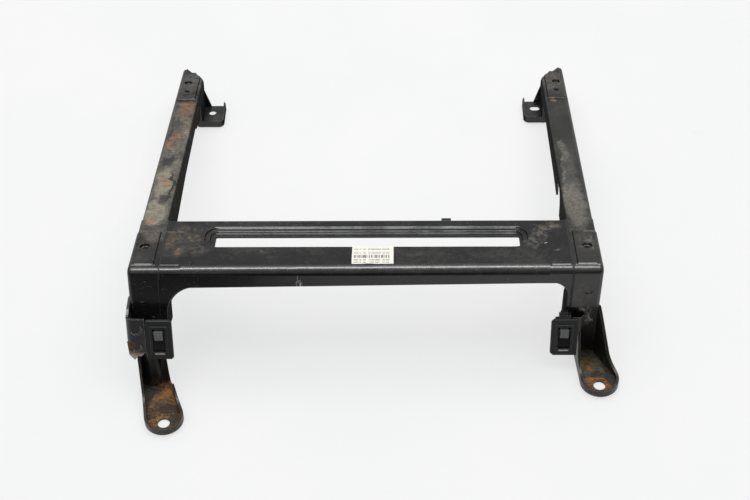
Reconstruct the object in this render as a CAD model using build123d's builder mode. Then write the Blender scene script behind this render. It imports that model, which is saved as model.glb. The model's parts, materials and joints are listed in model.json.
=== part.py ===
from build123d import *
from math import cos, radians, sin, sqrt
import os

os.makedirs("parts", exist_ok=True)

# Frame: millimetres, X to the right, Y to the rear, Z up, floor at Z = 0.
# The origin is the centre of the round rear left floor hole, the locating hole.

# Seat plane, on which the seat bolts down
seat_slope = 11.2         # degrees, falling to the rear
front_bolt_y = -333.4
front_bolt_z = 112.3
bolt_half = 209.8         # half the spacing of the seat bolts across the seat
ear_inboard = 23.4        # locating hole, inboard of the left seat bolts
centre_x = bolt_half - ear_inboard    # seat centre plane
bolt_run = 338.0          # front to rear seat bolts, along the slope
front_bolt_r = 5.0
rear_bolt_r = 4.5
pilot_r = 2.7             # small hole in front of each rear bolt hole
pilot_gap = 21.5          # its distance from the rear bolt hole
pilot_shift = 1.5         # and how far it lies inboard

# Sheet and bends
sheet = 2.0
foot_sheet = 2.4
bend_r = 4.0              # outside radius of the long bends
front_bend_r = 6.7        # outside radius of the bend over the front edge

# Rails, measured along the slope from the front bolts and across from the centre plane
front_edge = 38.0         # front face, ahead of the front bolts
rail_out = bolt_half + 10.7     # outer face
rail_in = bolt_half - 16.3      # inner face, and the seam with the cross member
tip_outer = 36.0          # outer corner of the rear end, behind the rear bolts
tip_inner = 9.5           # inner corner of the rear end
tip_bump = 2.5            # small bump in the middle of the slanted end
wall_front = 34.0         # depth of the side walls behind the cross member
wall_mid = 20.0
wall_rear = 12.0
wall_start = 56.0         # where the full depth starts to taper
mid_run = 170.0           # where the wall reaches its middle depth
rear_run = 300.0          # where it reaches its rear depth
pad_rise = 1.1            # raised pads round the bolt holes
pad_margin = 4.0
pad_slope = 40.0          # degrees, sides of the pads
front_pad_end = 27.0
rear_pad_start = 298.0
corner_step = 1.6         # how far the front corners stand out sideways
groove_width = 6.0        # pressed groove ahead of the rear pads
groove_depth = 0.9
notch_r = 16.5            # half-round notch in the right inner wall
notch_run = 116.0
notch_low = 20.0          # its centre, below the seat plane

# Legs
left_lean = 19.0          # degrees, forward towards the foot
right_lean = 0.0
leg_depth = 27.0          # front to back, at the top
leg_depth_foot = 20.0     # at the bottom
leg_end_z = 68.0          # where the rail's own face ends above the floor
knee_r = 14.0
leg_end_r = 4.0
emboss_r = 4.0            # round dimple in the leg's face
emboss_drop = 30.0
emboss_depth = 0.8

# Cross member
member_rear = 48.5        # rear edge, behind the front bolts
lap = 6.5                 # lap under the rails and behind the legs
flange_drop = 19.0
rear_lip = 7.0
end_land = 30.0           # untwisted stretch of the front flange at each end
recess_rear = 35.0
recess_half = 155.0
recess_round = 14.0
recess_depth = 1.6        # each of its two steps
recess_step = 5.0         # ledge between the two steps
slot_front = 1.5
slot_width = 21.5
slot_half = 145.8
slot_shift = 1.2
slot_corner = 1.6
slot_lip = 1.5            # recess edge ahead of the slot
left_fillet = 28.0        # rounds between the front flange and the legs
right_fillet = 17.0
left_tail = 62.0          # how far the ends reach down the legs
right_tail = 67.0
left_leg_in = rail_in - 7.5     # inner edge of the legs
right_leg_in = rail_in - 3.5
return_depth = 22.0       # flange turned back along the legs' inner edge
bead_half = rail_in - 21.5
bead_rise = 1.5

# Front feet
rim = 9.0
foot_hole_r = 5.75
foot_end = 14.0           # hole centre to the outer end
foot_width = 37.0
left_foot = (19.0 - bolt_half, -458.1)    # their holes: across from the centre plane, and Y
right_foot = (bolt_half + 14.1, -412.3)
left_web = (bolt_half - 11.8, bolt_half + 11.8)     # inner and outer edge of the webs
right_web = (bolt_half - 7.8, bolt_half + 12.4)
left_web_top = 58.0       # height of the full-width webs
right_web_top = 67.6
left_edge_top = 40.0      # where the side flanges run out
right_edge_top = 61.6
edge_reach = 24.0         # where the rim starts to rise, ahead of the web
edge_round = 22.0
bulge_at = bolt_half - 3.3      # rounded bulge in the left web, from the centre plane
bulge_r = 10.5
bulge_proud = 5.0
bulge_top = 42.0
tongue_top = 92.0         # top of the tongue that laps the leg from behind
tongue_gap = 0.2
tongue_round = 4.0
foot_bend = 4.0           # outside radius between floor and rim
tear_near = -3.0          # torn stretch of the left rim, ahead of the web's foot
tear_far = 14.0
tear_floor = 4.5          # lowest point of the torn edge

# Rear feet
ear_hole_r = 4.4
ear_slot_length = 12.0
right_ear = (bolt_half - 20.8, 5.7)     # its slot: across from the centre plane, and Y
ear_rim = 9.5
ear_front = 25.4          # pan reach ahead of the hole
ear_back = 11.8
left_ear_reach = 15.4     # pan reach inboard of the hole
right_ear_reach = 14.2
ear_round = 6.0
ear_tuck = 8.0            # how far the pan reaches under the rail
upright_gap = 2.6         # below the rail's sheet
upright_round = 3.0
upright_back = 4.0        # top rear corner, behind the hole
gusset_foot = 7.0         # inboard reach of the rear gusset

# Rocker units
bezel_w = 25.5
bezel_h = 41.5
bezel_t = 2.6
bezel_round = 3.0
bezel_lip = 0.8
lip_width = 2.4
left_tilt = 19.0          # degrees that the face looks up
right_tilt = 14.0
left_unit = (15.8 - bolt_half, -407.5, 62.5)    # across from the centre plane, Y and Z
right_unit = (bolt_half - 20.3, -383.5, 38.5)
window_w = 12.0
window_h = 24.5
running_gap = 0.25        # between the rocker and the window
housing_wall = 1.5
housing_depth = 13.5
pivot_depth = 5.0         # pivot below the face
pin_r = 1.25
pin_gap = 0.05            # round the pin in the rocker
pin_seat = 0.02           # round the pin in the housing
rocker_rise = 1.4         # how far the ends of the rocker stand above its middle
rocker_tilt = 7.0         # degrees, either way
rocker_skirt = 11.0       # depth of its ends
rocker_keel = 5.0         # half length of its bottom
pad_w = 8.0               # finger pad on the upper half
pad_h = 9.2
pad_t = 0.8
lamp_w = 9.4
lamp_h = 1.9
lamp_depth = 1.2
lamp_drop = 14.3          # below the middle of the bezel
terminal_w = 4.8
terminal_t = 0.8
terminal_length = 7.0
terminal_pitch = 6.0
wrap_t = 2.3
wrap_low = -2.5           # heights of the wrap, from the middle of the bezel
wrap_high = 22.0
wrap_tab = 11.0           # narrow tab below it
wrap_reach = 30.0         # how far it runs back along the leg
wrap_gap = 0.3
wrap_round = 6.0
flare = 10.0              # its upper corner, above the front strip
flare_round = 4.0
rib_upper_r = 5.5         # two crescent ribs on its front
rib_lower_r = 4.0
rib_rise = 1.5
left_strap_t = 1.4
right_strap_t = 1.5
strap_low = 43.0          # heights of the right strap above the floor
strap_high = 58.0
strap_end = 3.0           # web left free beyond the strap
lug_w = 11.0
lug_h = 7.0
lug_t = 6.0

# Small pieces
nut_across = 13.0
nut_thick = 7.0
nut_thread_r = 4.0
clip_w = 9.3
clip_reach = 5.5
clip_at = 77.8
clip_t = 1.4
label_w = 39.2
label_h = 30.6
label_t = 0.25
label_at = 7.0
label_wave = 0.8

# Directions and planes worked out from the slope
slope_y = cos(radians(seat_slope))
slope_z = sin(radians(seat_slope))
along = Vector(0, slope_y, -slope_z)
upward = Vector(0, slope_z, slope_y)
bolt_point = Vector(centre_x, front_bolt_y, front_bolt_z)
seat_plane = Plane(origin=bolt_point, x_dir=(1, 0, 0), z_dir=upward)
rail_middle = (rail_in + rail_out) / 2
tip = bolt_run + tip_outer


def side_plane(x):
    """Upright plane at x whose own axes run along the slope and square to it."""
    return Plane(origin=(x, front_bolt_y, front_bolt_z), x_dir=along, z_dir=(1, 0, 0))


def seat_point(run, height=0.0):
    """Point at a run behind the front bolts and a height above the seat plane."""
    return bolt_point + along * run + upward * height


def seat_height(y, below=0.0):
    """Height above the floor of a surface below the seat plane, at y."""
    return front_bolt_z - (y - front_bolt_y) * slope_z / slope_y - below / slope_y


def leg_way(lean):
    """Direction down a leg, in the side plane's axes."""
    down = Vector(0, -sin(radians(lean)), -cos(radians(lean)))
    return Vector(down.dot(along), down.dot(upward))


def leg_back(lean):
    """Direction from a leg's front face to its back, in the side plane's axes."""
    way = leg_way(lean)
    return Vector(-way.Y, way.X)


def leg_length(lean, height=0.0):
    """Length of a leg's front line from the front edge down to a height."""
    return (seat_point(-front_edge).Z - height) / cos(radians(lean))


def leg_plane(lean, inset=0.0):
    """Plane of a leg's front face: X across, Y up the leg, Z out to the front."""
    outward = Vector(0, -cos(radians(lean)), sin(radians(lean)))
    return Plane(origin=seat_point(-front_edge) - outward * inset, x_dir=(1, 0, 0), z_dir=outward)


def leg_y(lean, height, inset=0.0):
    """Y of a leg's front face, moved back by the inset, at a height."""
    top = seat_point(-front_edge)
    return top.Y - (top.Z - height) * sin(radians(lean)) / cos(radians(lean)) + inset / cos(radians(lean))


def corner_in(lean, inset):
    """Where the top and front lines meet, both moved inwards by the inset."""
    back = leg_back(lean)
    down = Vector(0, -1)
    return Vector(-front_edge, 0) + (back + down) * (inset / (1 + back.dot(down)))


def pair(vector):
    return (vector.X, vector.Y)


def span(side, near, far):
    """Low and high X of a stretch given from the centre plane, on one side."""
    return sorted((centre_x + side * near, centre_x + side * far))


def export(builder, name):
    builder.part.label = name
    export_step(builder.part, f"parts/{name}.step")


def channel_outline(lean, run_end):
    """Side outline of a rail and its leg before it is hollowed, with corner radii."""
    way = leg_way(lean)
    back = leg_back(lean)
    corner = Vector(-front_edge, 0)
    end = corner + way * leg_length(lean, leg_end_z)
    knee = corner + back * leg_depth + way * wall_front
    points = [(run_end, 0), pair(corner), pair(end), pair(end + back * leg_depth_foot), pair(knee)]
    radii = [0, front_bend_r, 0, leg_end_r, knee_r]
    if run_end > rear_run:
        points += [(wall_start, -wall_front), (mid_run, -wall_mid)]
        points += [(rear_run, -wall_rear), (run_end, -wall_rear)]
        radii += [8, 20, 20, 0]
    else:
        points += [(run_end, -wall_front)]
        radii += [0]
    return points, radii


def core_outline(lean, run_end):
    """Side outline of the hollow, open below, behind and at the rear end."""
    corner = corner_in(lean, sheet)
    end = corner + leg_way(lean) * leg_length(lean)
    points = [(run_end, -sheet), pair(corner), pair(end), (run_end, end.Y)]
    return points, [0, front_bend_r - sheet, 0, 0]


def channel(outline, lean, low, high, inset, sides):
    """A side outline extruded from low to high, its long edges rounded at some sides."""
    points, radii = outline
    corner = corner_in(lean, inset)
    back = leg_back(lean)
    crown = side_plane(low)
    with BuildPart() as body:
        with BuildSketch(crown):
            with BuildLine():
                FilletPolyline(*points, radius=radii, close=True)
            make_face()
        extrude(amount=high - low)
        chosen = []
        for edge in body.edges():
            ends = [crown.to_local_coords(edge @ t) for t in (0, 0.5, 1)]
            at_side = any(all(abs(low + end.Z - x) < 0.01 for end in ends) for x in sides)
            spot = Vector(ends[1].X, ends[1].Y)
            on_top = abs(spot.Y + inset) < 0.01
            on_front = abs((spot - corner).dot(back)) < 0.01
            on_bend = (spot - corner).length < front_bend_r - inset
            if at_side and (on_top or on_front or on_bend):
                chosen.append(edge)
        if chosen:
            fillet(chosen, bend_r - inset)
    return body.part


def pads(side):
    """Raised pads round the bolt holes, with sloped edges."""
    with BuildPart() as raised:
        for low, high in ((front_bend_r - front_edge, front_pad_end), (rear_pad_start, tip)):
            with BuildSketch(seat_plane):
                with Locations((side * rail_middle, (low + high) / 2)):
                    Rectangle(rail_out - rail_in - 2 * pad_margin, high - low)
            extrude(amount=pad_rise, taper=pad_slope)
    return raised.part


def rail(side, lean):
    """One rail and its leg: a sheet folded to an inverted channel, down at the front."""
    long_span = span(side, rail_in, rail_out)
    long_core = span(side, rail_in + sheet, rail_out - sheet)
    step_span = span(side, rail_in, rail_out + corner_step)
    step_core = span(side, rail_in - 1, rail_out + corner_step - sheet)
    side_span = span(side, rail_in - 1, rail_in + sheet)
    outer_at = centre_x + side * (rail_out + corner_step)
    outer = [
        channel(channel_outline(lean, tip), lean, *long_span, 0.0, long_span),
        channel(channel_outline(lean, member_rear), lean, *step_span, 0.0, [outer_at]),
        pads(side),
    ]
    inner = [
        channel(core_outline(lean, tip + rim), lean, *long_core, sheet, long_core),
        channel(
            core_outline(lean, front_pad_end - sheet), lean, *step_core, sheet,
            [outer_at - side * sheet],
        ),
        channel(core_outline(lean, member_rear), lean, *side_span, sheet, []),
    ]
    outward = Align.MIN if side > 0 else Align.MAX
    with BuildPart() as body:
        for form in outer:
            add(form)
        # The wider corner ends with the pad
        with BuildSketch(seat_plane):
            with Locations((side * rail_out, (front_pad_end + member_rear) / 2)):
                Rectangle(2 * corner_step, member_rear - front_pad_end, align=(outward, Align.CENTER))
        extrude(amount=2 * wall_front, both=True, mode=Mode.SUBTRACT)
        for form in inner:
            add(form, mode=Mode.SUBTRACT)
        # Bolt holes, and the small holes ahead of the rear ones
        with BuildSketch(seat_plane):
            with Locations((side * bolt_half, 0)):
                Circle(front_bolt_r)
            with Locations((side * bolt_half, bolt_run)):
                Circle(rear_bolt_r)
            with Locations((side * (bolt_half - pilot_shift), bolt_run - pilot_gap)):
                Circle(pilot_r)
        extrude(amount=wall_rear, both=True, mode=Mode.SUBTRACT)
        # Slanted rear end with a small bump in its middle
        bump_run = bolt_run + (tip_inner + tip_outer) / 2
        with BuildSketch(seat_plane):
            with BuildLine():
                Polyline(
                    (side * (rail_in - 1), bolt_run + tip_inner - tip_bump),
                    (side * (rail_in + 0.6 * tip_bump), bolt_run + tip_inner + tip_bump),
                    (side * (rail_middle - 2 * tip_bump), bump_run - tip_bump),
                    (side * (rail_middle - tip_bump), bump_run + tip_bump),
                    (side * (rail_middle + 0.6 * tip_bump), bump_run + tip_bump),
                    (side * (rail_out - 2 * tip_bump), tip - 0.4 * tip_bump),
                    (side * (rail_out - 0.8 * tip_bump), tip - 0.2 * tip_bump),
                    (side * (rail_out + 1), tip - 1.2 * tip_bump),
                    (side * (rail_out + 1), tip + rim),
                    (side * (rail_in - 1), tip + rim),
                    close=True,
                )
            make_face()
        extrude(amount=2 * wall_rear, both=True, mode=Mode.SUBTRACT)
        # Groove pressed across the top ahead of the rear pad
        with BuildSketch(side_plane(centre_x + side * rail_middle)):
            with Locations((rear_pad_start - groove_width / 2, 0)):
                Rectangle(groove_width, 2 * groove_depth)
        extrude(amount=rail_out - rail_in, both=True, mode=Mode.SUBTRACT)
        # Round dimple in the leg's face
        with BuildSketch(leg_plane(lean)):
            with Locations((side * bolt_half, -emboss_drop)):
                Circle(emboss_r)
        extrude(amount=-emboss_depth, mode=Mode.SUBTRACT)
        if side > 0:
            # Half-round notch that clears the seat mechanism, in the inner wall only
            with BuildSketch(side_plane(centre_x + rail_in - 1)):
                with Locations((notch_run, -notch_low)):
                    Circle(notch_r)
            extrude(amount=2 * sheet, mode=Mode.SUBTRACT)
            with BuildSketch(side_plane(centre_x + rail_in - 1)):
                with Locations((notch_run, -notch_low)):
                    Rectangle(2 * notch_r, 2 * wall_front, align=(Align.CENTER, Align.MAX))
            extrude(amount=2 * sheet, mode=Mode.SUBTRACT)
    return body


left_rail = rail(-1, left_lean)
export(left_rail, "left_rail")
right_rail = rail(1, right_lean)
export(right_rail, "right_rail")


def member_section(lean):
    """Section of the cross member: rear lip, top and front flange, one sheet thick."""
    way = leg_way(lean)
    back = leg_back(lean)
    corner = Vector(-front_edge, 0)
    end = corner + way * flange_drop
    points = [
        (member_rear, -rear_lip),
        (member_rear, 0),
        pair(corner),
        pair(end),
        pair(end + back * sheet),
        pair(corner_in(lean, sheet)),
        (member_rear - sheet, -sheet),
        (member_rear - sheet, -rear_lip),
    ]
    radii = [0, bend_r, front_bend_r, 0, 0, front_bend_r - sheet, bend_r - sheet, 0]
    with BuildSketch() as section:
        with BuildLine():
            FilletPolyline(*points, radius=radii, close=True)
        make_face()
    return section.sketch


def bead_section(lean):
    """Quarter ring that stands proud over the front bend."""
    middle = corner_in(lean, front_bend_r)
    back = leg_back(lean)
    reach = 2 * (front_bend_r + bead_rise)
    with BuildSketch() as section:
        with Locations(pair(middle)):
            Circle(front_bend_r + bead_rise)
            Circle(front_bend_r - sheet / 2, mode=Mode.SUBTRACT)
        with BuildLine():
            Polyline(
                pair(middle),
                pair(middle + Vector(0, reach)),
                pair(middle + Vector(0, reach) - back * reach),
                pair(middle - back * reach),
                close=True,
            )
        make_face(mode=Mode.INTERSECT)
    return section.sketch


def member_end(side, lean, leg_in, round_r, tail_length):
    """End of the cross member: it runs down the leg, with a large round and a flange."""
    face = leg_plane(lean)
    start = leg_in - round_r - sheet
    turned = [
        (side * start, -flange_drop),
        (side * leg_in, -flange_drop),
        (side * leg_in, -tail_length),
        (side * (leg_in + sheet), -tail_length),
        (side * (leg_in + sheet), sheet - flange_drop),
        (side * start, sheet - flange_drop),
    ]
    with BuildPart() as end:
        with BuildSketch(face):
            with BuildLine():
                FilletPolyline(
                    (side * start, -front_bend_r),
                    (side * rail_in, -front_bend_r),
                    (side * rail_in, -tail_length),
                    (side * leg_in, -tail_length),
                    (side * leg_in, -flange_drop),
                    (side * start, -flange_drop),
                    radius=[0, 0, 0, 0, round_r, 0],
                    close=True,
                )
            make_face()
        extrude(amount=-sheet)
        with BuildSketch(face):
            with BuildLine():
                FilletPolyline(*turned, radius=[0, round_r, 0, 0, round_r + sheet, 0], close=True)
            make_face()
        extrude(amount=-return_depth)
        # Rounded bend between the face and the return flange
        bend_back = [
            edge for edge in end.edges()
            if abs(face.to_local_coords(edge @ 0.5).Z) < 0.01
            and abs(side * face.to_local_coords(edge @ 0.5).X - leg_in) < 0.01
        ]
        fillet(bend_back, sheet * 0.9)
        # Laps: under the rail's top and behind the leg's face
        with BuildSketch(leg_plane(lean, sheet)):
            with BuildLine():
                low = -tail_length + bend_r
                Polyline(
                    (side * (leg_in + sheet), -flange_drop),
                    (side * (rail_in + lap), -flange_drop),
                    (side * (rail_in + lap), low),
                    (side * (leg_in + sheet), low),
                    close=True,
                )
            make_face()
        extrude(amount=-sheet)
        with BuildSketch(seat_plane.offset(-sheet)):
            with Locations((side * rail_in, (member_rear - front_edge) / 2)):
                Rectangle(2 * lap, member_rear - bend_r - front_edge + 2 * front_bend_r)
        extrude(amount=-sheet)
    return end.part


left_end = member_end(-1, left_lean, left_leg_in, left_fillet, left_tail)
right_end = member_end(1, right_lean, right_leg_in, right_fillet, right_tail)
strips = [
    (member_section(left_lean), member_section(right_lean), rail_in),
    (bead_section(left_lean), bead_section(right_lean), bead_half),
]

with BuildPart() as cross_member:
    twist_half = rail_in - end_land
    for left_section, right_section, half in strips:
        with BuildSketch(side_plane(centre_x - half)):
            add(left_section)
        extrude(amount=half - twist_half)
        with BuildSketch(side_plane(centre_x + twist_half)):
            add(right_section)
        extrude(amount=half - twist_half)
        with BuildSketch(side_plane(centre_x - twist_half)):
            add(left_section)
        with BuildSketch(side_plane(centre_x + twist_half)):
            add(right_section)
        loft()
    add(left_end)
    add(right_end)
    # Long recess in two steps: the tray below it, then the steps themselves
    recess_front = slot_front - slot_lip
    recess_middle = (recess_front + recess_rear) / 2
    for step in (1, 2):
        narrow = (step - 1) * recess_step
        with BuildSketch(seat_plane.offset(-(step - 1) * recess_depth)):
            with Locations((0, recess_middle)):
                RectangleRounded(
                    2 * (recess_half + sheet - narrow),
                    recess_rear - recess_front + 2 * (sheet - narrow),
                    recess_round + sheet - narrow,
                )
        extrude(amount=-recess_depth - sheet, taper=20)
    for step in (1, 2):
        narrow = (step - 1) * recess_step
        with BuildSketch(seat_plane.offset(-(step - 1) * recess_depth)):
            with Locations((0, recess_middle)):
                RectangleRounded(
                    2 * (recess_half - narrow),
                    recess_rear - recess_front - 2 * narrow,
                    recess_round - narrow,
                )
        extrude(amount=-recess_depth, taper=20, mode=Mode.SUBTRACT)
    # Slot right through
    with BuildSketch(seat_plane):
        with Locations((slot_shift, slot_front + slot_width / 2)):
            RectangleRounded(2 * slot_half, slot_width, slot_corner)
    extrude(amount=wall_rear, both=True, mode=Mode.SUBTRACT)
export(cross_member, "cross_member")


def foot_plan(side, lean, hole, web, web_top):
    """Plan outline of a front foot: a round end hulled to the sides of its web."""
    low, high = span(side, *web)
    round_r = foot_width / 2
    back_y = leg_y(lean, web_top, sheet + foot_sheet)
    with BuildSketch() as plan:
        with BuildLine():
            with Locations((hole[0], hole[1] - foot_end + round_r)):
                CenterArc((hole[0], hole[1] - foot_end + round_r), round_r, 0, 360)
            Line((low, back_y), (high, back_y))
        make_hull()
    return plan.sketch


def foot_form(lean, plan, hole, web_top, edge_top, inset):
    """A foot's plan carried up and cut to its side outline, outside or hollow."""
    front = hole[1] - foot_end - rim
    web_foot = leg_y(lean, 0, sheet)
    rise = [
        (leg_y(lean, edge_top, sheet) - rim / 3, edge_top),
        (web_foot - edge_reach, rim),
    ]
    with BuildPart() as form:
        with BuildSketch():
            add(plan)
            if inset:
                offset(amount=-inset)
        extrude(amount=web_top + rim)
        with BuildSketch(Plane.YZ.offset(centre_x - 2 * rail_out)):
            with BuildLine():
                if inset:
                    FilletPolyline(
                        (front, inset),
                        (leg_y(lean, inset, sheet), inset),
                        (leg_y(lean, web_top + rim, sheet), web_top + rim),
                        (front, web_top + rim),
                        radius=[0, foot_bend - inset, 0, 0],
                        close=True,
                    )
                else:
                    FilletPolyline(
                        (front, 0),
                        (leg_y(lean, 0, sheet + foot_sheet), 0),
                        (leg_y(lean, web_top, sheet + foot_sheet), web_top),
                        (leg_y(lean, web_top, sheet), web_top),
                        rise[0],
                        rise[1],
                        (front, rim),
                        radius=[0, foot_bend, 0, 0, 3, edge_round, 0],
                        close=True,
                    )
            make_face()
        extrude(amount=4 * rail_out, mode=Mode.INTERSECT)
    return form.part


def web_column(lean, radius, top, behind):
    """Round column along a leaning web, from behind its face, level at floor and top."""
    down = Vector(0, -sin(radians(lean)), -cos(radians(lean)))
    start = leg_plane(lean, sheet + bulge_r - bulge_proud).origin
    with BuildPart() as column:
        with BuildSketch(Plane(origin=start, x_dir=(1, 0, 0), z_dir=down)):
            with Locations((-bulge_at, 0)):
                Circle(radius)
            with Locations((-bulge_at, bulge_r - bulge_proud - behind)):
                Rectangle(4 * bulge_r, 4 * bulge_r, align=(Align.CENTER, Align.MIN), mode=Mode.INTERSECT)
        extrude(amount=2 * leg_length(lean))
        with BuildSketch(Plane.XY.offset(foot_sheet / 2)):
            Rectangle(4 * rail_out, 4 * abs(front_bolt_y))
        extrude(amount=top - foot_sheet / 2, mode=Mode.INTERSECT)
    return column.part


def front_foot(side, lean, place, web, web_top, edge_top):
    """A pressed foot: floor, rim, web with side flanges, and a tongue behind the leg."""
    hole = (centre_x + place[0], place[1])
    plan = foot_plan(side, lean, hole, web, web_top)
    outside = foot_form(lean, plan, hole, web_top, edge_top, 0.0)
    hollow = foot_form(lean, plan, hole, web_top, edge_top, foot_sheet)
    with BuildPart() as body:
        add(outside)
        low_edges = body.edges().filter_by_position(Axis.Z, -0.01, 0.01)
        round_edges = [edge for edge in low_edges if edge.center().Y < leg_y(lean, 0) - 1]
        chamfer(round_edges, foot_bend * 0.4)
        add(hollow, mode=Mode.SUBTRACT)
        with BuildSketch(Plane.XY.offset(-1)):
            with Locations(hole):
                Circle(foot_hole_r)
        extrude(amount=foot_sheet + 2, mode=Mode.SUBTRACT)
        with BuildSketch(leg_plane(lean, sheet)):
            with BuildLine():
                near = max(web[0], rail_in + lap + tongue_gap)
                far = rail_out + corner_step - bend_r
                high = -leg_length(lean, tongue_top)
                low = -leg_length(lean, web_top - rim)
                FilletPolyline(
                    (side * near, low),
                    (side * near, high),
                    (side * far, high),
                    (side * far, low),
                    radius=[0, tongue_round, tongue_round, 0],
                    close=True,
                )
            make_face()
        extrude(amount=-foot_sheet)
        if side < 0:
            # Rounded bulge of the web, hollow behind
            add(web_column(lean, bulge_r, bulge_top, foot_sheet))
            inner_r = bulge_r - foot_sheet
            add(web_column(lean, inner_r, bulge_top - foot_sheet, bulge_r), mode=Mode.SUBTRACT)
            # Torn notch in the inboard flange, ahead of the web
            web_foot = leg_y(lean, 0, sheet)
            with BuildSketch(Plane.YZ.offset(centre_x - bulge_at + bulge_r)):
                with BuildLine():
                    Polyline(
                        (web_foot - tear_near, web_top),
                        (web_foot - tear_near, 3 * tear_floor),
                        (web_foot - tear_near - 2, tear_floor),
                        (web_foot - (tear_near + tear_far) / 2, 1.6 * tear_floor),
                        (web_foot - tear_far + 2, tear_floor),
                        (web_foot - tear_far, 2 * tear_floor),
                        (web_foot - tear_far + 1, 3 * rim),
                        (web_foot - tear_far, web_top),
                        close=True,
                    )
                make_face()
            extrude(amount=foot_width, mode=Mode.SUBTRACT)
        else:
            # Inboard flange cut down to pass under the strap
            with BuildSketch(leg_plane(lean, sheet)):
                with BuildLine():
                    cut_low = -leg_length(lean, strap_low - 1)
                    cut_high = -leg_length(lean, web_top + rim)
                    Polyline(
                        (side * (web[0] - 1), cut_low),
                        (side * (web[0] - 1), cut_high),
                        (side * (web[0] + 2 * foot_sheet), cut_high),
                        (side * (web[0] + 2 * foot_sheet), cut_low),
                        close=True,
                    )
                make_face()
            extrude(amount=foot_width, mode=Mode.SUBTRACT)
    return body


left_front_foot = front_foot(-1, left_lean, left_foot, left_web, left_web_top, left_edge_top)
export(left_front_foot, "left_front_foot")
right_front_foot = front_foot(1, right_lean, right_foot, right_web, right_web_top, right_edge_top)
export(right_front_foot, "right_front_foot")


def rear_foot(side, hole, reach, slot_length):
    """A pressed rear foot: pan with a rim, an upright beside the rail and a gusset."""
    x, y = hole
    low, high = sorted((x - side * reach, centre_x + side * (rail_in + ear_tuck)))
    inboard = x - side * reach
    wall = centre_x + side * (rail_in + sheet)
    with BuildPart() as body:
        with BuildSketch() as pan:
            with BuildLine():
                FilletPolyline(
                    (centre_x + side * (rail_in + ear_tuck), y - ear_front),
                    (inboard, y - ear_front),
                    (inboard, y + ear_back),
                    (centre_x + side * (rail_in + ear_tuck), y + ear_back),
                    radius=[2, ear_round, ear_round, 2],
                    close=True,
                )
            make_face()
        extrude(amount=ear_rim)
        bottom = body.faces().sort_by(Axis.Z)[0].edges()
        chamfer(bottom, foot_bend * 0.4)
        with BuildSketch(Plane.XY.offset(foot_sheet)):
            with BuildLine():
                FilletPolyline(
                    (centre_x + side * (rail_in + 2 * ear_tuck), y - ear_front + foot_sheet),
                    (inboard + side * foot_sheet, y - ear_front + foot_sheet),
                    (inboard + side * foot_sheet, y + 2 * ear_back),
                    (centre_x + side * (rail_in + 2 * ear_tuck), y + 2 * ear_back),
                    radius=[0, ear_round - foot_sheet, 0, 0],
                    close=True,
                )
            make_face()
        extrude(amount=ear_rim, mode=Mode.SUBTRACT)
        # Upright, face to face with the inside of the rail's inner wall
        with BuildSketch(Plane.YZ.offset(wall)):
            with BuildLine():
                below = sheet + upright_gap
                FilletPolyline(
                    (y - ear_front, foot_sheet / 2),
                    (y + ear_back, foot_sheet / 2),
                    (y + ear_back, 2 * ear_rim),
                    (y + upright_back, seat_height(y + upright_back, below)),
                    (y - ear_front, seat_height(y - ear_front, below)),
                    radius=[0, 0, upright_round, upright_round, upright_round],
                    close=True,
                )
            make_face()
        extrude(amount=side * foot_sheet)
        # Gusset turned inboard along the rear edge
        with BuildSketch(Plane.XZ.offset(-y - ear_back)):
            with BuildLine():
                Polyline(
                    (wall + side * foot_sheet, foot_sheet / 2),
                    (wall - side * gusset_foot, foot_sheet / 2),
                    (wall - side * gusset_foot, foot_sheet + 1),
                    (wall, 3 * ear_rim),
                    (wall + side * foot_sheet, 3 * ear_rim),
                    close=True,
                )
            make_face()
        extrude(amount=foot_sheet)
        with BuildSketch(Plane.XY.offset(-1)):
            with Locations((x, y)):
                if slot_length > 2 * ear_hole_r:
                    SlotOverall(slot_length, 2 * ear_hole_r)
                else:
                    Circle(ear_hole_r)
        extrude(amount=foot_sheet + 2, mode=Mode.SUBTRACT)
    return body


left_rear_foot = rear_foot(-1, (0.0, 0.0), left_ear_reach, 2 * ear_hole_r)
export(left_rear_foot, "left_rear_foot")
right_slot = (centre_x + right_ear[0], right_ear[1])
right_rear_foot = rear_foot(1, right_slot, right_ear_reach, ear_slot_length)
export(right_rear_foot, "right_rear_foot")


def weld_nuts(run):
    """The pair of weld nuts under the rails at one run along the slope."""
    with BuildPart() as nuts:
        with BuildSketch(seat_plane.offset(-sheet)):
            with Locations((-bolt_half, run), (bolt_half, run)):
                RegularPolygon(nut_across / 2, 6, major_radius=False, rotation=30)
                Circle(nut_thread_r, mode=Mode.SUBTRACT)
        extrude(amount=-nut_thick)
    return nuts


front_weld_nuts = weld_nuts(0)
export(front_weld_nuts, "front_weld_nuts")
rear_weld_nuts = weld_nuts(bolt_run)
export(rear_weld_nuts, "rear_weld_nuts")

# Clip that hooks over the rear lip of the cross member
with BuildPart() as cable_clip:
    with BuildSketch(side_plane(centre_x + clip_at - clip_w / 2)):
        with BuildLine():
            Polyline(
                (member_rear, 0 - bend_r),
                (member_rear + clip_t, -bend_r + clip_t),
                (member_rear + clip_reach, -bend_r + clip_t),
                (member_rear + clip_reach, -bend_r),
                (member_rear + clip_t, -bend_r - clip_t),
                (member_rear + clip_t, -rear_lip - clip_t),
                (member_rear - sheet - clip_t, -rear_lip - clip_t),
                (member_rear - sheet - clip_t, -rear_lip + clip_t),
                (member_rear - sheet, -rear_lip + clip_t),
                (member_rear - sheet, -rear_lip),
                (member_rear, -rear_lip),
                close=True,
            )
        make_face()
    extrude(amount=clip_w)
export(cable_clip, "cable_clip")

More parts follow.
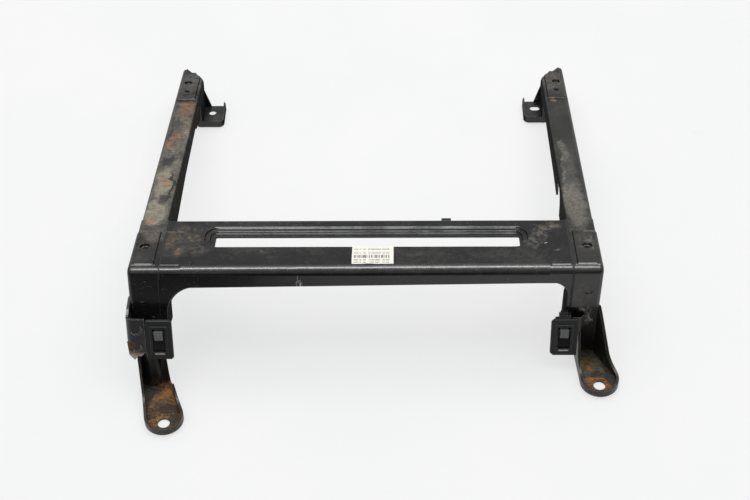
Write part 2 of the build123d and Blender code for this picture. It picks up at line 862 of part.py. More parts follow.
# Paper label on the front land, its front edge a little wavy
with BuildPart() as label:
    with BuildSketch(seat_plane):
        with BuildLine():
            label_rear = slot_front - label_t
            label_front = label_rear - label_h
            left = label_at - label_w / 2
            right = label_at + label_w / 2
            Line((left, label_front + label_wave), (left, label_rear))
            Line((left, label_rear), (right, label_rear))
            Line((right, label_rear), (right, label_front))
            Spline(
                (right, label_front),
                (label_at + label_w / 6, label_front),
                (label_at - label_w / 6, label_front + label_wave),
                (label_at - label_w / 3, label_front),
                (left, label_front + label_wave),
            )
        make_face()
    extrude(amount=label_t)
export(label, "label")


def unit_plane(place, tilt):
    """Front face of a rocker unit: X across, Y up the face, Z out of it."""
    outward = Vector(0, -cos(radians(tilt)), sin(radians(tilt)))
    middle = (centre_x + place[0], place[1], place[2])
    return Plane(origin=middle, x_dir=(1, 0, 0), z_dir=outward)


def pivot_plane(face, turn):
    """Upright plane through the pivot, its X up the face, turned with the rocker."""
    middle = face.from_local_coords(Vector(0, 0, -pivot_depth))
    up = face.y_dir * cos(radians(turn)) + face.z_dir * sin(radians(turn))
    return Plane(origin=middle, x_dir=up, z_dir=(1, 0, 0))


def bezel(face, clipped):
    """Plastic frame of a rocker unit, with a lip round its window."""
    with BuildPart() as body:
        with BuildSketch(face):
            Rectangle(bezel_w, bezel_h)
        extrude(amount=-bezel_t)
        uprights = body.edges().filter_by(Axis(face.origin, face.z_dir))
        if clipped:
            chamfer(uprights.sort_by(Axis.X)[:2], bezel_round)
            fillet(body.edges().filter_by(Axis(face.origin, face.z_dir)).sort_by(Axis.X)[-2:], 1.0)
        else:
            fillet(uprights, bezel_round)
        rim_edges = body.faces().sort_by(Axis(face.origin, face.z_dir))[-1].edges()
        chamfer(rim_edges, bezel_lip)
        with BuildSketch(face):
            Rectangle(window_w + 2 * lip_width, window_h + 2 * lip_width)
        extrude(amount=bezel_lip, taper=15)
        with BuildSketch(face.offset(bezel_lip)):
            Rectangle(window_w, window_h)
        extrude(amount=-bezel_t - bezel_lip, mode=Mode.SUBTRACT)
        with BuildSketch(face.offset(bezel_lip)):
            with Locations((0, -lamp_drop)):
                Rectangle(lamp_w, lamp_h)
        extrude(amount=-lamp_depth - bezel_lip, mode=Mode.SUBTRACT)
    return body


def terminal_plane(face):
    """Inside of the housing's lower wall: X across, Y to the front, Z down the face."""
    depth = bezel_t + (housing_depth - housing_wall) / 2
    middle = face.from_local_coords(Vector(0, -window_h / 2, -depth))
    return Plane(origin=middle, x_dir=(1, 0, 0), z_dir=-face.y_dir)


def housing(face):
    """Box behind the bezel, open to the window, with the pin's holes in its sides."""
    wide = window_w + 2 * housing_wall
    high = window_h + 2 * housing_wall
    back = face.offset(-bezel_t)
    with BuildPart() as body:
        with BuildSketch(back):
            Rectangle(wide, high)
        extrude(amount=-housing_depth)
        with BuildSketch(back):
            Rectangle(window_w, window_h)
        extrude(amount=housing_wall - housing_depth, mode=Mode.SUBTRACT)
        with BuildSketch(pivot_plane(face, 0)):
            Circle(pin_r + pin_seat)
        extrude(amount=wide, both=True, mode=Mode.SUBTRACT)
        with BuildSketch(terminal_plane(face)):
            with Locations((0, terminal_pitch / 2), (0, -terminal_pitch / 2)):
                Rectangle(terminal_w, terminal_t)
        extrude(amount=housing_wall, mode=Mode.SUBTRACT)
    return body


def rocker(face, turn):
    """Rocker button: a shallow V across the top, cut to swing clear of the window."""
    swing = window_h / 2 - running_gap
    reach = sqrt(swing**2 - (pivot_depth + rocker_rise) ** 2)
    with BuildPart() as body:
        with BuildSketch(pivot_plane(face, turn)):
            with BuildLine():
                Polyline(
                    (-reach, pivot_depth + rocker_rise),
                    (0, pivot_depth),
                    (reach, pivot_depth + rocker_rise),
                    (reach, pivot_depth - rocker_skirt / 2),
                    (rocker_keel, pivot_depth - rocker_skirt),
                    (-rocker_keel, pivot_depth - rocker_skirt),
                    (-reach, pivot_depth - rocker_skirt / 2),
                    close=True,
                )
            make_face()
            Circle(pin_r + pin_gap, mode=Mode.SUBTRACT)
        extrude(amount=window_w / 2 - running_gap, both=True)
        # Finger pad on the upper half
        pad_reach = pad_h / reach
        with BuildSketch(pivot_plane(face, turn)):
            with BuildLine():
                Polyline(
                    (0, pivot_depth - pad_t),
                    (0, pivot_depth + pad_t),
                    (pad_h, pivot_depth + pad_reach * rocker_rise + pad_t),
                    (pad_h, pivot_depth - pad_t),
                    close=True,
                )
            make_face()
        extrude(amount=pad_w / 2, both=True)
    return body


def pin(face):
    with BuildPart() as body:
        with BuildSketch(pivot_plane(face, 0)):
            Circle(pin_r)
        extrude(amount=window_w / 2 + housing_wall, both=True)
    return body


def lamp(face):
    """Pale light bar set in the bezel below the window."""
    with BuildPart() as body:
        with BuildSketch(face.offset(-lamp_depth)):
            with Locations((0, -lamp_drop)):
                Rectangle(lamp_w, lamp_h)
        extrude(amount=lamp_depth + bezel_lip / 2)
    return body


def terminals(face):
    """Two blades through the lower wall of the housing."""
    with BuildPart() as body:
        with BuildSketch(terminal_plane(face)):
            with Locations((0, terminal_pitch / 2), (0, -terminal_pitch / 2)):
                Rectangle(terminal_w, terminal_t)
        extrude(amount=terminal_length + housing_wall)
    return body


left_face = unit_plane(left_unit, left_tilt)
right_face = unit_plane(right_unit, right_tilt)
for name, face, clipped in (("left", left_face, False), ("right", right_face, True)):
    export(bezel(face, clipped), f"{name}_bezel")
    export(housing(face), f"{name}_housing")
    export(rocker(face, rocker_tilt), f"{name}_rocker")
    export(pin(face), f"{name}_pin")
    export(lamp(face), f"{name}_lamp")
    export(terminals(face), f"{name}_terminals")

# Plastic arm that wraps the left leg beside the rocker unit
leg_side = -rail_out - corner_step - left_unit[0] - wrap_gap
wrap_edge = leg_side - wrap_t
bezel_edge = -bezel_w / 2
with BuildPart() as left_wrap:
    bottom = left_face.from_local_coords(Vector(0, wrap_low, 0))
    with BuildSketch(Plane(origin=bottom, x_dir=(1, 0, 0), z_dir=left_face.y_dir)):
        with BuildLine():
            FilletPolyline(
                (bezel_edge, 0),
                (wrap_edge, 0),
                (wrap_edge, wrap_reach),
                (leg_side, wrap_reach),
                (leg_side, wrap_t),
                (bezel_edge, wrap_t),
                radius=[0, wrap_round, 0, 0, wrap_round - wrap_t, 0],
                close=True,
            )
        make_face()
    extrude(amount=wrap_high - wrap_low)
    # Flared upper corner against the side of the leg
    flare_foot = left_face.from_local_coords(Vector(wrap_edge, 0, 0))
    with BuildSketch(Plane(origin=flare_foot, x_dir=left_face.y_dir, z_dir=(1, 0, 0))):
        with BuildLine():
            FilletPolyline(
                (wrap_low, -wrap_round),
                (wrap_high, -wrap_round),
                (wrap_high + flare / 2, -2 * wrap_round),
                (wrap_high + flare, wrap_round - wrap_reach),
                (wrap_high + flare, -wrap_reach),
                (wrap_low, -wrap_reach),
                radius=[0, flare_round, flare_round, flare_round / 2, flare_round / 2, 0],
                close=True,
            )
        make_face()
    extrude(amount=wrap_t)
    # Narrow tab below the front strip, then two crescent ribs
    with BuildSketch(left_face):
        with Locations((bezel_edge, wrap_low)):
            Rectangle(wrap_tab, wrap_tab, align=(Align.MAX, Align.MAX))
    extrude(amount=-wrap_t)
    rib_x = (bezel_edge + leg_side) / 2
    lower_rib = wrap_low - wrap_tab / 2
    for rib_y, rib_r in ((wrap_high / 2, rib_upper_r), (lower_rib, rib_lower_r)):
        with BuildSketch(left_face):
            with Locations((rib_x, rib_y)):
                Circle(rib_r)
            with Locations((rib_x - rib_r / 4, rib_y + rib_r / 3)):
                Circle(rib_r, mode=Mode.SUBTRACT)
        extrude(amount=rib_rise)
export(left_wrap, "left_wrap")

# Steel strap under the wrap, its lower end torn
with BuildPart() as left_strap:
    with BuildSketch(left_face.offset(-wrap_t)):
        with BuildLine():
            strap_side = bezel_edge - wrap_gap
            strap_edge = leg_side + wrap_round - wrap_t
            Polyline(
                (strap_edge, wrap_high / 4),
                (strap_side, wrap_high / 4),
                (strap_side, wrap_low - wrap_tab),
                (strap_side - wrap_tab / 2, wrap_low - 1.5 * wrap_tab),
                (strap_side - 0.7 * wrap_tab, wrap_low - 1.4 * wrap_tab),
                (strap_edge, wrap_low - 1.8 * wrap_tab),
                (leg_side - wrap_t / 2, wrap_low - 1.3 * wrap_tab),
                (leg_side - wrap_t, wrap_low - wrap_gap),
                (strap_edge, wrap_low - wrap_gap),
                close=True,
            )
        make_face()
    extrude(amount=-left_strap_t)
export(left_strap, "left_strap")


def strap_section(y_low, y_high):
    """Section of the right strap: its back edge at the low and high end."""
    with BuildSketch() as section:
        with BuildLine():
            Polyline(
                (y_low, strap_low),
                (y_low - right_strap_t, strap_low),
                (y_high - right_strap_t, strap_high),
                (y_high, strap_high),
                close=True,
            )
        make_face()
    return section.sketch


# Steel strap that carries the right unit from the web of the foot
web_y = leg_y(right_lean, 0, sheet)
back_point = right_face.from_local_coords(Vector(0, 0, -bezel_t))
back_slope = right_face.y_dir.Y / right_face.y_dir.Z
back_low = back_point.Y + (strap_low - back_point.Z) * back_slope + right_strap_t
back_high = back_point.Y + (strap_high - back_point.Z) * back_slope + right_strap_t
behind_bezel = strap_section(back_low, back_high)
on_web = strap_section(web_y, web_y)
strap_near = centre_x + right_unit[0] + window_w / 2 + housing_wall + wrap_gap
strap_turn = centre_x + right_web[0] + foot_sheet + wrap_gap
strap_land = strap_turn + 2 * foot_sheet
strap_far = centre_x + rail_out - bend_r - strap_end
with BuildPart() as right_strap:
    with BuildSketch(Plane.YZ.offset(strap_near)):
        add(behind_bezel)
    extrude(amount=strap_turn - strap_near)
    with BuildSketch(Plane.YZ.offset(strap_turn)):
        add(behind_bezel)
    with BuildSketch(Plane.YZ.offset(strap_land)):
        add(on_web)
    loft()
    with BuildSketch(Plane.YZ.offset(strap_land)):
        add(on_web)
    extrude(amount=strap_far - strap_land)
export(right_strap, "right_strap")

# Connector lug on top of the right bezel
with BuildPart() as right_lug:
    top_point = right_face.from_local_coords(Vector(0, bezel_h / 2, -bezel_lip))
    with BuildSketch(Plane(origin=top_point, x_dir=(1, 0, 0), z_dir=right_face.y_dir)):
        Rectangle(lug_w, lug_t, align=(Align.CENTER, Align.MIN))
    extrude(amount=lug_h * 0.6)
    with BuildSketch(Plane(origin=top_point, x_dir=(1, 0, 0), z_dir=right_face.y_dir)):
        with Locations((-1, 1)):
            Rectangle(lug_w * 0.6, lug_t - 2, align=(Align.CENTER, Align.MIN))
    extrude(amount=lug_h)
export(right_lug, "right_lug")
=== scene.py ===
import json
from math import atan2, cos, radians, sin

import bpy
import numpy as np
from mathutils import Matrix, Vector


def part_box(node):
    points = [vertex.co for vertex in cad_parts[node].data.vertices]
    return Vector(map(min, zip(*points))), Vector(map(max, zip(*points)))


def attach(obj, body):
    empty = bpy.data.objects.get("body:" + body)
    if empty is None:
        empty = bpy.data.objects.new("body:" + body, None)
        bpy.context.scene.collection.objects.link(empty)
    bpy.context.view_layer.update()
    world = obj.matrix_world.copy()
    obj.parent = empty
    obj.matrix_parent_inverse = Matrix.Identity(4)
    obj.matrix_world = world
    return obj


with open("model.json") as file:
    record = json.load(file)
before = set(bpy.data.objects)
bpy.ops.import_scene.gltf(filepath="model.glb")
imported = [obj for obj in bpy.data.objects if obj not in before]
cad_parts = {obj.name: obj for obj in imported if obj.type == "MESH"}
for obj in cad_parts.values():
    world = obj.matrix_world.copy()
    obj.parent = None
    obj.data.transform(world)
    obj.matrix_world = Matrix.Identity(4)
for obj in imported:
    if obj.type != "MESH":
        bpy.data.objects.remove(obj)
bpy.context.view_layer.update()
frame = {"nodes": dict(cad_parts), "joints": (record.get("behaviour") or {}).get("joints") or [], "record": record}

bl_info = {
    "name": "Vehicle seat base",
    "version": (1, 1, 0),
    "blender": (4, 5, 0),
    "location": "View3D > Sidebar > Seat base",
    "description": "Finishes, small surface pieces and stage of a pressed-steel seat base",
    "category": "Object",
}

# Places that the frame gives: the mounts of the base and the pivots of the rockers
MOUNTS = {mount["name"]: mount for mount in frame["record"]["mounts"]}
PIVOTS = {joint["child"]: joint["pos_m"] for joint in frame["joints"]}

# Seat plane, through the front bolts: their mount lies on raised pads above it
PAD_RISE = 0.0011
SLOPE = atan2(*MOUNTS["front_seat_bolts"]["axis"][1:])
CENTRE_X, bolt_y, bolt_z = MOUNTS["front_seat_bolts"]["pos_m"]
BOLT_Y = bolt_y - PAD_RISE * sin(SLOPE)
BOLT_Z = bolt_z - PAD_RISE * cos(SLOPE)
FRONT_EDGE = 0.038  # front faces of the legs, ahead of the bolts along the seat plane
FRONT_Y = BOLT_Y - FRONT_EDGE * cos(SLOPE)
SHEET = 0.002
WEB_Y = FRONT_Y + SHEET  # the sheet behind the legs' faces, of the feet and the cross member
RAIL_INNER = 0.1935  # inner faces of the rails, from the centre plane

# Rocker units: tilt of each from the upright, depth of the pivot below the bezel's face, and how
# far the rocker's upper half leans out at rest
TILTS = {"left": radians(19.0), "right": radians(14.0)}
PIVOT_DEPTH = 0.005
REST_TURN = radians(7.0)

# Finger pads: where they start above the pivot, their height and half width, how far they stand
# out from the pivot, how much more at the top, and the rise and number of their ribs
PAD_START = 0.0006
PAD_HIGH = 0.0082
PAD_HALF = 0.0038
PAD_OUT = 0.00581
PAD_SLANT = 0.00112853
RIB_RISE = 0.0003
RIBS = 5

# Display colours that come back: painted shade in creases, and a painted highlight (glint) on bends; and the tone
# under which a stripe is matt
CREASE_SHADE = (6, 6, 6)
GLINT = (170, 172, 172)
MATT_BELOW = 30


def srgb(red, green, blue):
    """Linear colour from display values between 0 and 255."""
    parts = np.array([red, green, blue]) / 255.0
    linear = np.where(parts <= 0.04045, parts / 12.92, ((parts + 0.055) / 1.055) ** 2.4)
    return (*linear.tolist(), 1.0)


def shaded(colour, *shares):
    """The linear colour times one share, or times a share for each of its three parts."""
    parts = np.array(colour[:3]) * np.array(shares)
    return (*parts.tolist(), 1.0)


class Value:
    """A number in a node tree. Arithmetic on it adds the matching Math nodes."""

    def __init__(self, graph, socket):
        self.graph = graph
        self.socket = socket

    def math(self, operation, *inputs):
        node = self.graph.add("ShaderNodeMath", {"operation": operation}, dict(enumerate(inputs)))
        return Value(self.graph, node.outputs[0])

    def __add__(self, other):
        return self.math("ADD", self, other)

    __radd__ = __add__

    def __sub__(self, other):
        return self.math("SUBTRACT", self, other)

    def __rsub__(self, other):
        return self.math("SUBTRACT", other, self)

    def __mul__(self, other):
        return self.math("MULTIPLY", self, other)

    __rmul__ = __mul__

    def __truediv__(self, other):
        return self.math("DIVIDE", self, other)

    def __pow__(self, other):
        return self.math("POWER", self, other)

    def __abs__(self):
        return self.math("ABSOLUTE", self)

    def union(self, other):
        return self.math("MAXIMUM", self, other)

    def least(self, other):
        return self.math("MINIMUM", self, other)


class Graph:
    """A node tree that is filled by calls."""

    def __init__(self, tree):
        self.tree = tree
        tree.nodes.clear()

    def add(self, kind, settings=None, inputs=None):
        """Adds a node: its settings first, then the values or links of its sockets."""
        node = self.tree.nodes.new(kind)
        for key, value in (settings or {}).items():
            setattr(node, key, value)
        for key, value in (inputs or {}).items():
            if isinstance(value, Value):
                value = value.socket
            if isinstance(value, bpy.types.NodeSocket):
                self.tree.links.new(value, node.inputs[key])
            else:
                node.inputs[key].default_value = value
        return node

    def split(self, vector):
        """The three parts of a vector as values."""
        node = self.add("ShaderNodeSeparateXYZ", None, {0: vector})
        return [Value(self, node.outputs[part]) for part in range(3)]

    def step(self, value, low, high, first=0.0, last=1.0):
        """First below low and last above high, smooth between; the other way round if low is above high."""
        node = self.add("ShaderNodeMapRange", {"interpolation_type": "SMOOTHSTEP"}, {
            "Value": value, "From Min": low, "From Max": high, "To Min": first, "To Max": last,
        })
        return Value(self, node.outputs[0])

    def mix(self, factor, first, second):
        """Colour between the first and the second."""
        node = self.add("ShaderNodeMix", {"data_type": "RGBA"}, {0: factor, 6: first, 7: second})
        return node.outputs[2]


class Finish(Graph):
    """A procedural material in the object's own coordinates."""

    def __init__(self, name):
        self.material = bpy.data.materials.new(name)
        self.material.use_nodes = True
        super().__init__(self.material.node_tree)
        self.place = self.add("ShaderNodeTexCoord").outputs["Object"]

    def seat_axes(self):
        """Millimetres across from the centre plane, back from the front bolts, and up.

        The second one follows the sheet: below the seat plane it goes on down the front face.
        """
        x, y, z = self.split(self.place)
        run = ((y - BOLT_Y) * cos(SLOPE) - (z - BOLT_Z) * sin(SLOPE)) * 1000.0
        proud = ((y - BOLT_Y) * sin(SLOPE) + (z - BOLT_Z) * cos(SLOPE)) * 1000.0
        return (x - CENTRE_X) * 1000.0, run + (proud + 2.0).least(0.0), z * 1000.0

    def noise(self, scale, detail=4.0, roughness=0.6, stretch=(1.0, 1.0, 1.0), shift=0.0):
        """Fractal noise from 0 to 1; the scale counts features in a metre."""
        move = self.add("ShaderNodeMapping", None, {
            "Vector": self.place, "Location": (shift, shift * 0.7, -shift), "Scale": stretch,
        })
        node = self.add("ShaderNodeTexNoise", None, {
            "Vector": move.outputs[0], "Scale": scale, "Detail": detail, "Roughness": roughness,
        })
        return Value(self, node.outputs[0])

    def blotch(self, across, run, spot, ragged):
        """1 inside an ellipse (middle and half sizes in millimetres), with a ragged edge."""
        x, y, half_x, half_y = spot
        far = (((across - x) / half_x) ** 2.0 + ((run - y) / half_y) ** 2.0) ** 0.5
        return self.step(far + ragged, 1.12, 0.72)

    def edges(self, width):
        """1 along sharp edges: where the rounded normal turns away from the true one."""
        soft = self.add("ShaderNodeBevel", {"samples": 4}, {"Radius": width})
        true = self.add("ShaderNodeNewGeometry")
        dot = self.add("ShaderNodeVectorMath", {"operation": "DOT_PRODUCT"}, {
            0: soft.outputs[0], 1: true.outputs["Normal"],
        })
        return self.step(1.0 - Value(self, dot.outputs["Value"]), 0.03, 0.3)

    def band(self, near, along, middle, first, last, half):
        """1 in a narrow band: within half of the middle one way, and from first to last the other way."""
        inside = self.step(abs(along - (first + last) / 2), (last - first) / 2 + 1.5, (last - first) / 2)
        return self.step(abs(near - middle), half, half * 0.5) * inside

    def facing(self):
        """The three parts of the surface's own normal."""
        return self.split(self.add("ShaderNodeNewGeometry").outputs["Normal"])

    def shade(self, colour, roughness, height=None, depth=0.0001, rounding=0.0006, painted_shade_share=None, **fixed):
        """Ends the finish: a Principled surface with rounded edges and a bump, with a flat black surface mixed in
        by the given share as painted shade.
        """
        inputs = {"Base Color": colour, "Roughness": roughness}
        for key, value in fixed.items():
            inputs[key.replace("_", " ").title().replace("Ior", "IOR")] = value
        rounded = self.add("ShaderNodeBevel", {"samples": 4}, {"Radius": rounding})
        normal = rounded.outputs[0]
        if height is not None:
            bump = self.add("ShaderNodeBump", None, {
                "Strength": 1.0, "Distance": depth, "Height": height, "Normal": normal,
            })
            normal = bump.outputs[0]
        inputs["Normal"] = normal
        surface = self.add("ShaderNodeBsdfPrincipled", None, inputs)
        # Painted shade: a flat black surface, mixed in by the given share
        if painted_shade_share is not None:
            painted_shade_black = self.add("ShaderNodeBsdfDiffuse", None, {"Color": (0.004, 0.004, 0.0038, 1.0)})
            surface = self.add("ShaderNodeMixShader", None, {
                0: painted_shade_share, 1: surface.outputs[0], 2: painted_shade_black.outputs[0],
            })
        self.add("ShaderNodeOutputMaterial", None, {"Surface": surface.outputs[0]})
        return self.material


def worn_black(name, look, stains=(), lines=(), bars=(), scuffs=(),
               dust=0.12, scrape=0.5, roughness=0.2, haze=0.0):
    """Satin black paint with dust, fine scrapes, worn edges and given stains.

    Each stain is (ellipse, display colour, strength, breakup). Stains are laid on in order,
    on coordinates bent by noise, so that their outlines wander. A breakup of 0 is a smooth
    film and 1 is speckled rust. Each line is (across, first run, last run, half width) of a
    dark seam, and each scuff is a pale line of the same kind. Each bar is (run, first across,
    last across, half width, colour, strength) of a stripe along a bend or step: a pale bar is a
    painted highlight and a near-black one painted shade. Dust lies on what faces up, and haze
    is an even dusty film. Faces that turn sideways are painted darker, and faces that turn
    inward get a flat black surface mixed in: painted shade.
    """
    finish = Finish(name)
    across, run, _ = finish.seat_axes()
    broad = finish.noise(24.0, 5.0, 0.6)
    fine = finish.noise(430.0, 5.0, 0.7, shift=3.0)
    patch = finish.noise(75.0, 5.0, 0.7, shift=7.0)
    crumb = finish.noise(190.0, 6.0, 0.75, shift=9.0)
    bend_x = (finish.noise(38.0, 4.0, 0.6, shift=11.0) - 0.5) * 22.0
    bend_y = (finish.noise(30.0, 4.0, 0.6, shift=15.0) - 0.5) * 34.0
    bent_across = across + bend_x
    bent_run = run + bend_y
    ragged = (patch - 0.5) * 1.1 + (crumb - 0.5) * 1.2
    black = tuple(look.paint)
    colour = finish.mix(broad, shaded(black, 0.5), black)
    turn, _, upward = finish.facing()
    above = finish.step(upward, 0.3, 0.85)
    film = finish.step(broad * 0.5 + crumb * 0.5, 0.42, 0.72) * above * dust + haze * (0.5 + patch)
    colour = finish.mix(film, colour, srgb(122, 119, 112))
    dirt = film
    mottle = finish.step(crumb * 0.55 + fine * 0.45, 0.42, 0.57)
    holes = finish.step(crumb * 0.7 + fine * 0.3, 0.46, 0.58)
    for spot, tint, strength, breakup in stains:
        mask = finish.blotch(bent_across, bent_run, spot, ragged) * strength
        mask = mask * (1.0 - breakup + breakup * holes)
        full = srgb(*tint)
        colour = finish.mix(mask, colour, finish.mix(mottle, shaded(full, 0.66 - 0.5 * breakup), full))
        dirt = dirt.union(mask)
    matt = dirt
    for middle, first, last, half in lines:
        seam = finish.band(across + (patch - 0.5) * 2.0 * half, run, middle, first, last, half)
        colour = finish.mix(seam * 0.95, colour, srgb(5, 5, 5))
        matt = matt.union(seam)
    for middle, first, last, half in scuffs:
        scuff = finish.band(across + (crumb - 0.5) * 12.0, run, middle, first, last, half)
        colour = finish.mix(scuff * finish.step(fine, 0.42, 0.56, 0.3, 1.0), colour, srgb(214, 214, 208))
    for middle, first, last, half, tint, strength in bars:
        stripe = finish.band(run, across, middle, first, last, half) * strength
        stripe = stripe * finish.step(broad + crumb * 0.5, 0.6, 0.76, 0.45, 1.0)
        colour = finish.mix(stripe, colour, srgb(*tint))
        if max(tint) < MATT_BELOW:
            matt = matt.union(stripe)
    long_lines = finish.noise(170.0, 2.0, 0.5, stretch=(1.0, 11.0, 3.0), shift=1.0)
    cross_lines = finish.noise(160.0, 2.0, 0.5, stretch=(10.0, 1.0, 3.0), shift=5.0)
    scratch = finish.step(long_lines, 0.69, 0.73).union(finish.step(cross_lines, 0.7, 0.74))
    scratch = scratch * finish.step(patch, 0.42, 0.62) * scrape
    colour = finish.mix(scratch * 0.6, colour, srgb(132, 128, 122))
    specks = finish.step(finish.noise(760.0, 2.0, 0.6, shift=19.0), 0.7, 0.76) * above * scrape
    colour = finish.mix(specks * 0.55, colour, srgb(150, 146, 138))
    rim = finish.edges(0.0011) * finish.step(fine, 0.42, 0.62) * look.wear
    colour = finish.mix(rim * 0.7, colour, srgb(104, 96, 86))
    # Painted shade: faces that turn sideways are painted darker, and faces that turn inward, towards the middle,
    # get a flat black surface mixed in
    sideways = finish.step(abs(turn), 0.4, 0.8)
    inward = finish.step(turn * across * -0.005, 0.4, 0.8)
    colour = finish.mix(sideways * 0.35, colour, srgb(7, 7, 7))
    rough = roughness + 0.08 * broad + 0.42 * matt + 0.1 * scratch + 0.2 * sideways + 0.3 * inward
    relief = fine * 0.35 * dirt + dirt * 0.9 + patch * 0.12 - scratch * 0.3
    return finish.shade(colour, rough, relief, 0.00016, painted_shade_share=inward * 0.75, specular_ior_level=0.5)


def foot_finish(name, look, mount, scale_spots, paint_spots, rim_tint=(142, 136, 126)):
    """A pressed foot: black paint outside, rust on its floor where the spots lie, and a paler rim that is worn
    paint and a painted highlight.

    Spots are in millimetres from the mount's hole, in plan. Scale spots are (ellipse, display
    colour, strength) of rust. Paint spots are (ellipse, strength) of dark islands of paint.
    """
    finish = Finish(name)
    hole = MOUNTS[mount]["pos_m"]
    x, y, z = finish.split(finish.place)
    east = (x - hole[0]) * 1000.0
    north = (y - hole[1]) * 1000.0
    up = z * 1000.0
    coarse = finish.noise(70.0, 5.0, 0.65, shift=hole[0] * 9.0)
    grain = finish.noise(380.0, 5.0, 0.75, shift=2.0)
    specks = finish.noise(950.0, 2.0, 0.6, shift=4.0)
    bend_x = (finish.noise(90.0, 4.0, 0.6, shift=6.0) - 0.5) * 16.0
    bend_y = (finish.noise(90.0, 4.0, 0.6, shift=8.0) - 0.5) * 16.0
    ragged = (coarse - 0.5) * 1.0 + (grain - 0.5) * 1.1
    floor = finish.step(finish.facing()[2], 0.5, 0.85) * finish.step(up, 8.0, 4.0)
    colour = finish.mix(coarse, srgb(12, 12, 11), srgb(30, 28, 26))
    streaks = finish.noise(240.0, 5.0, 0.7, stretch=(0.5, 1.5, 1.0), shift=12.0)
    flakes = finish.step(streaks * 0.5 + grain * 0.5, 0.39, 0.56)
    eaten = floor * 0.0
    for spot, tint, strength in scale_spots:
        mask = finish.blotch(east + bend_x, north + bend_y, spot, ragged) * strength * floor
        full = srgb(*tint)
        lit = finish.mix(finish.step(coarse, 0.38, 0.56), shaded(full, 0.45, 0.52, 0.62), full)
        colour = finish.mix(mask, colour, finish.mix(flakes, shaded(full, 0.16), lit))
        eaten = eaten.union(mask)
    for spot, strength in paint_spots:
        mask = finish.blotch(east + bend_x, north + bend_y, spot, ragged) * strength * floor
        colour = finish.mix(mask, colour, srgb(16, 13, 11))
        eaten = eaten * (1.0 - mask * 0.8)
    low = finish.step(up, 14.0, 3.0) * (1.0 - floor)
    colour = finish.mix(low * finish.step(grain, 0.44, 0.6) * 0.45, colour, srgb(112, 82, 52))
    # The rim is paler: worn paint, and a painted highlight along its top edge
    rim = finish.edges(0.001) * finish.step(grain, 0.38, 0.6, 0.35, 1.0) * look.wear * 1.7
    colour = finish.mix(rim, colour, srgb(*rim_tint))
    colour = finish.mix(finish.step(specks, 0.66, 0.74) * floor * 0.6, colour, srgb(188, 176, 156))
    rough = 0.34 + 0.5 * eaten + 0.08 * grain + 0.2 * floor
    relief = eaten * grain * 1.3 + eaten * coarse * 0.8 + specks * 0.2
    return finish.shade(colour, rough, relief, 0.0006, specular_ior_level=0.32)


def scaled_steel(name, look):
    """Steel strap with thick brown scale and a pale worn end."""
    finish = Finish(name)
    up = finish.seat_axes()[2]
    coarse = finish.noise(110.0, 5.0, 0.65, shift=1.0)
    grain = finish.noise(520.0, 5.0, 0.75, shift=2.0)
    tone = finish.mix(finish.step(grain, 0.35, 0.65), srgb(48, 30, 20), srgb(126, 82, 50))
    pale = finish.step(up + (coarse - 0.5) * 12.0, 50.0, 44.0)
    tone = finish.mix(pale, tone, finish.mix(grain, srgb(120, 104, 88), srgb(196, 188, 176)))
    rim = finish.edges(0.0008) * look.wear
    tone = finish.mix(rim, tone, srgb(150, 128, 104))
    return finish.shade(tone, 0.6 + 0.25 * grain, grain + coarse, 0.0004, specular_ior_level=0.4)


def grained_plastic(name, tint, roughness, edge=0.5, film=0.08, worn=116, mirror=0.28):
    """Moulded plastic with a fine pebble grain and a dusty film, paler along its edges: worn edges, and where the
    edge tone is high a painted highlight.
    """
    finish = Finish(name)
    cells = finish.add("ShaderNodeTexVoronoi", {"feature": "SMOOTH_F1"}, {
        "Vector": finish.place, "Scale": 1400.0, "Smoothness": 0.6,
    })
    pebble = Value(finish, cells.outputs["Distance"])
    haze = finish.noise(70.0, 4.0, 0.6, shift=2.0)
    fine = finish.noise(520.0, 3.0, 0.7, shift=4.0)
    colour = finish.mix(haze * film, tint, srgb(78, 79, 78))
    colour = finish.mix(finish.edges(0.0009) * edge * (0.4 + fine), colour, srgb(worn, worn, worn - 2))
    return finish.shade(colour, roughness + 0.18 * haze, pebble + haze * 0.3, 0.00006,
                        rounding=0.0005, specular_ior_level=mirror)


def rocker_plastic(side):
    """Black rocker: its upper half, the finger pad, is painted grey as a painted highlight, scuffed by noise, and
    its lower half is painted darker than the bezels as painted shade.
    """
    finish = Finish(f"{side}_rocker_plastic")
    x, _, z = finish.split(finish.place)
    pivot, _, out = rocker_axes(side)
    middle = (pivot + PIVOT_DEPTH * out).tolist()
    wear = finish.noise(420.0, 4.0, 0.65, shift=middle[0])
    half = (x - middle[0]) * 1000.0
    high = (z - middle[2]) * 1000.0
    pad = finish.step(abs(half), 4.2, 3.9) * finish.step(high, 0.2, 0.8)
    # Painted highlight: the upper half is painted grey, paler at its edges, for the light it catches; the lower
    # half is near black as painted shade
    grey = finish.mix(wear, srgb(86, 88, 90), srgb(112, 114, 116))
    colour = finish.mix(pad, srgb(4, 4, 5), grey)
    colour = finish.mix(finish.edges(0.0006) * pad * 0.6, colour, srgb(120, 120, 120))
    rough = 0.78 - 0.36 * pad + 0.16 * wear
    return finish.shade(colour, rough, wear, 0.00003, rounding=0.0003, specular_ior_level=0.3)


def plated_metal(name, tint, roughness):
    """Dull plated metal with faint blotches."""
    finish = Finish(name)
    haze = finish.noise(240.0, 4.0, 0.65)
    colour = finish.mix(haze * 0.5, tint, shaded(tint, 0.45))
    return finish.shade(colour, roughness + 0.25 * haze, haze, 0.00005, metallic=1.0)


def pale_lens(name):
    """Pale moulded bar, slightly yellowed, its tone blotched by noise."""
    finish = Finish(name)
    haze = finish.noise(300.0, 3.0, 0.6)
    colour = finish.mix(haze, srgb(172, 172, 168), srgb(134, 134, 130))
    return finish.shade(colour, 0.3 + 0.15 * haze, haze, 0.00004, rounding=0.0003)


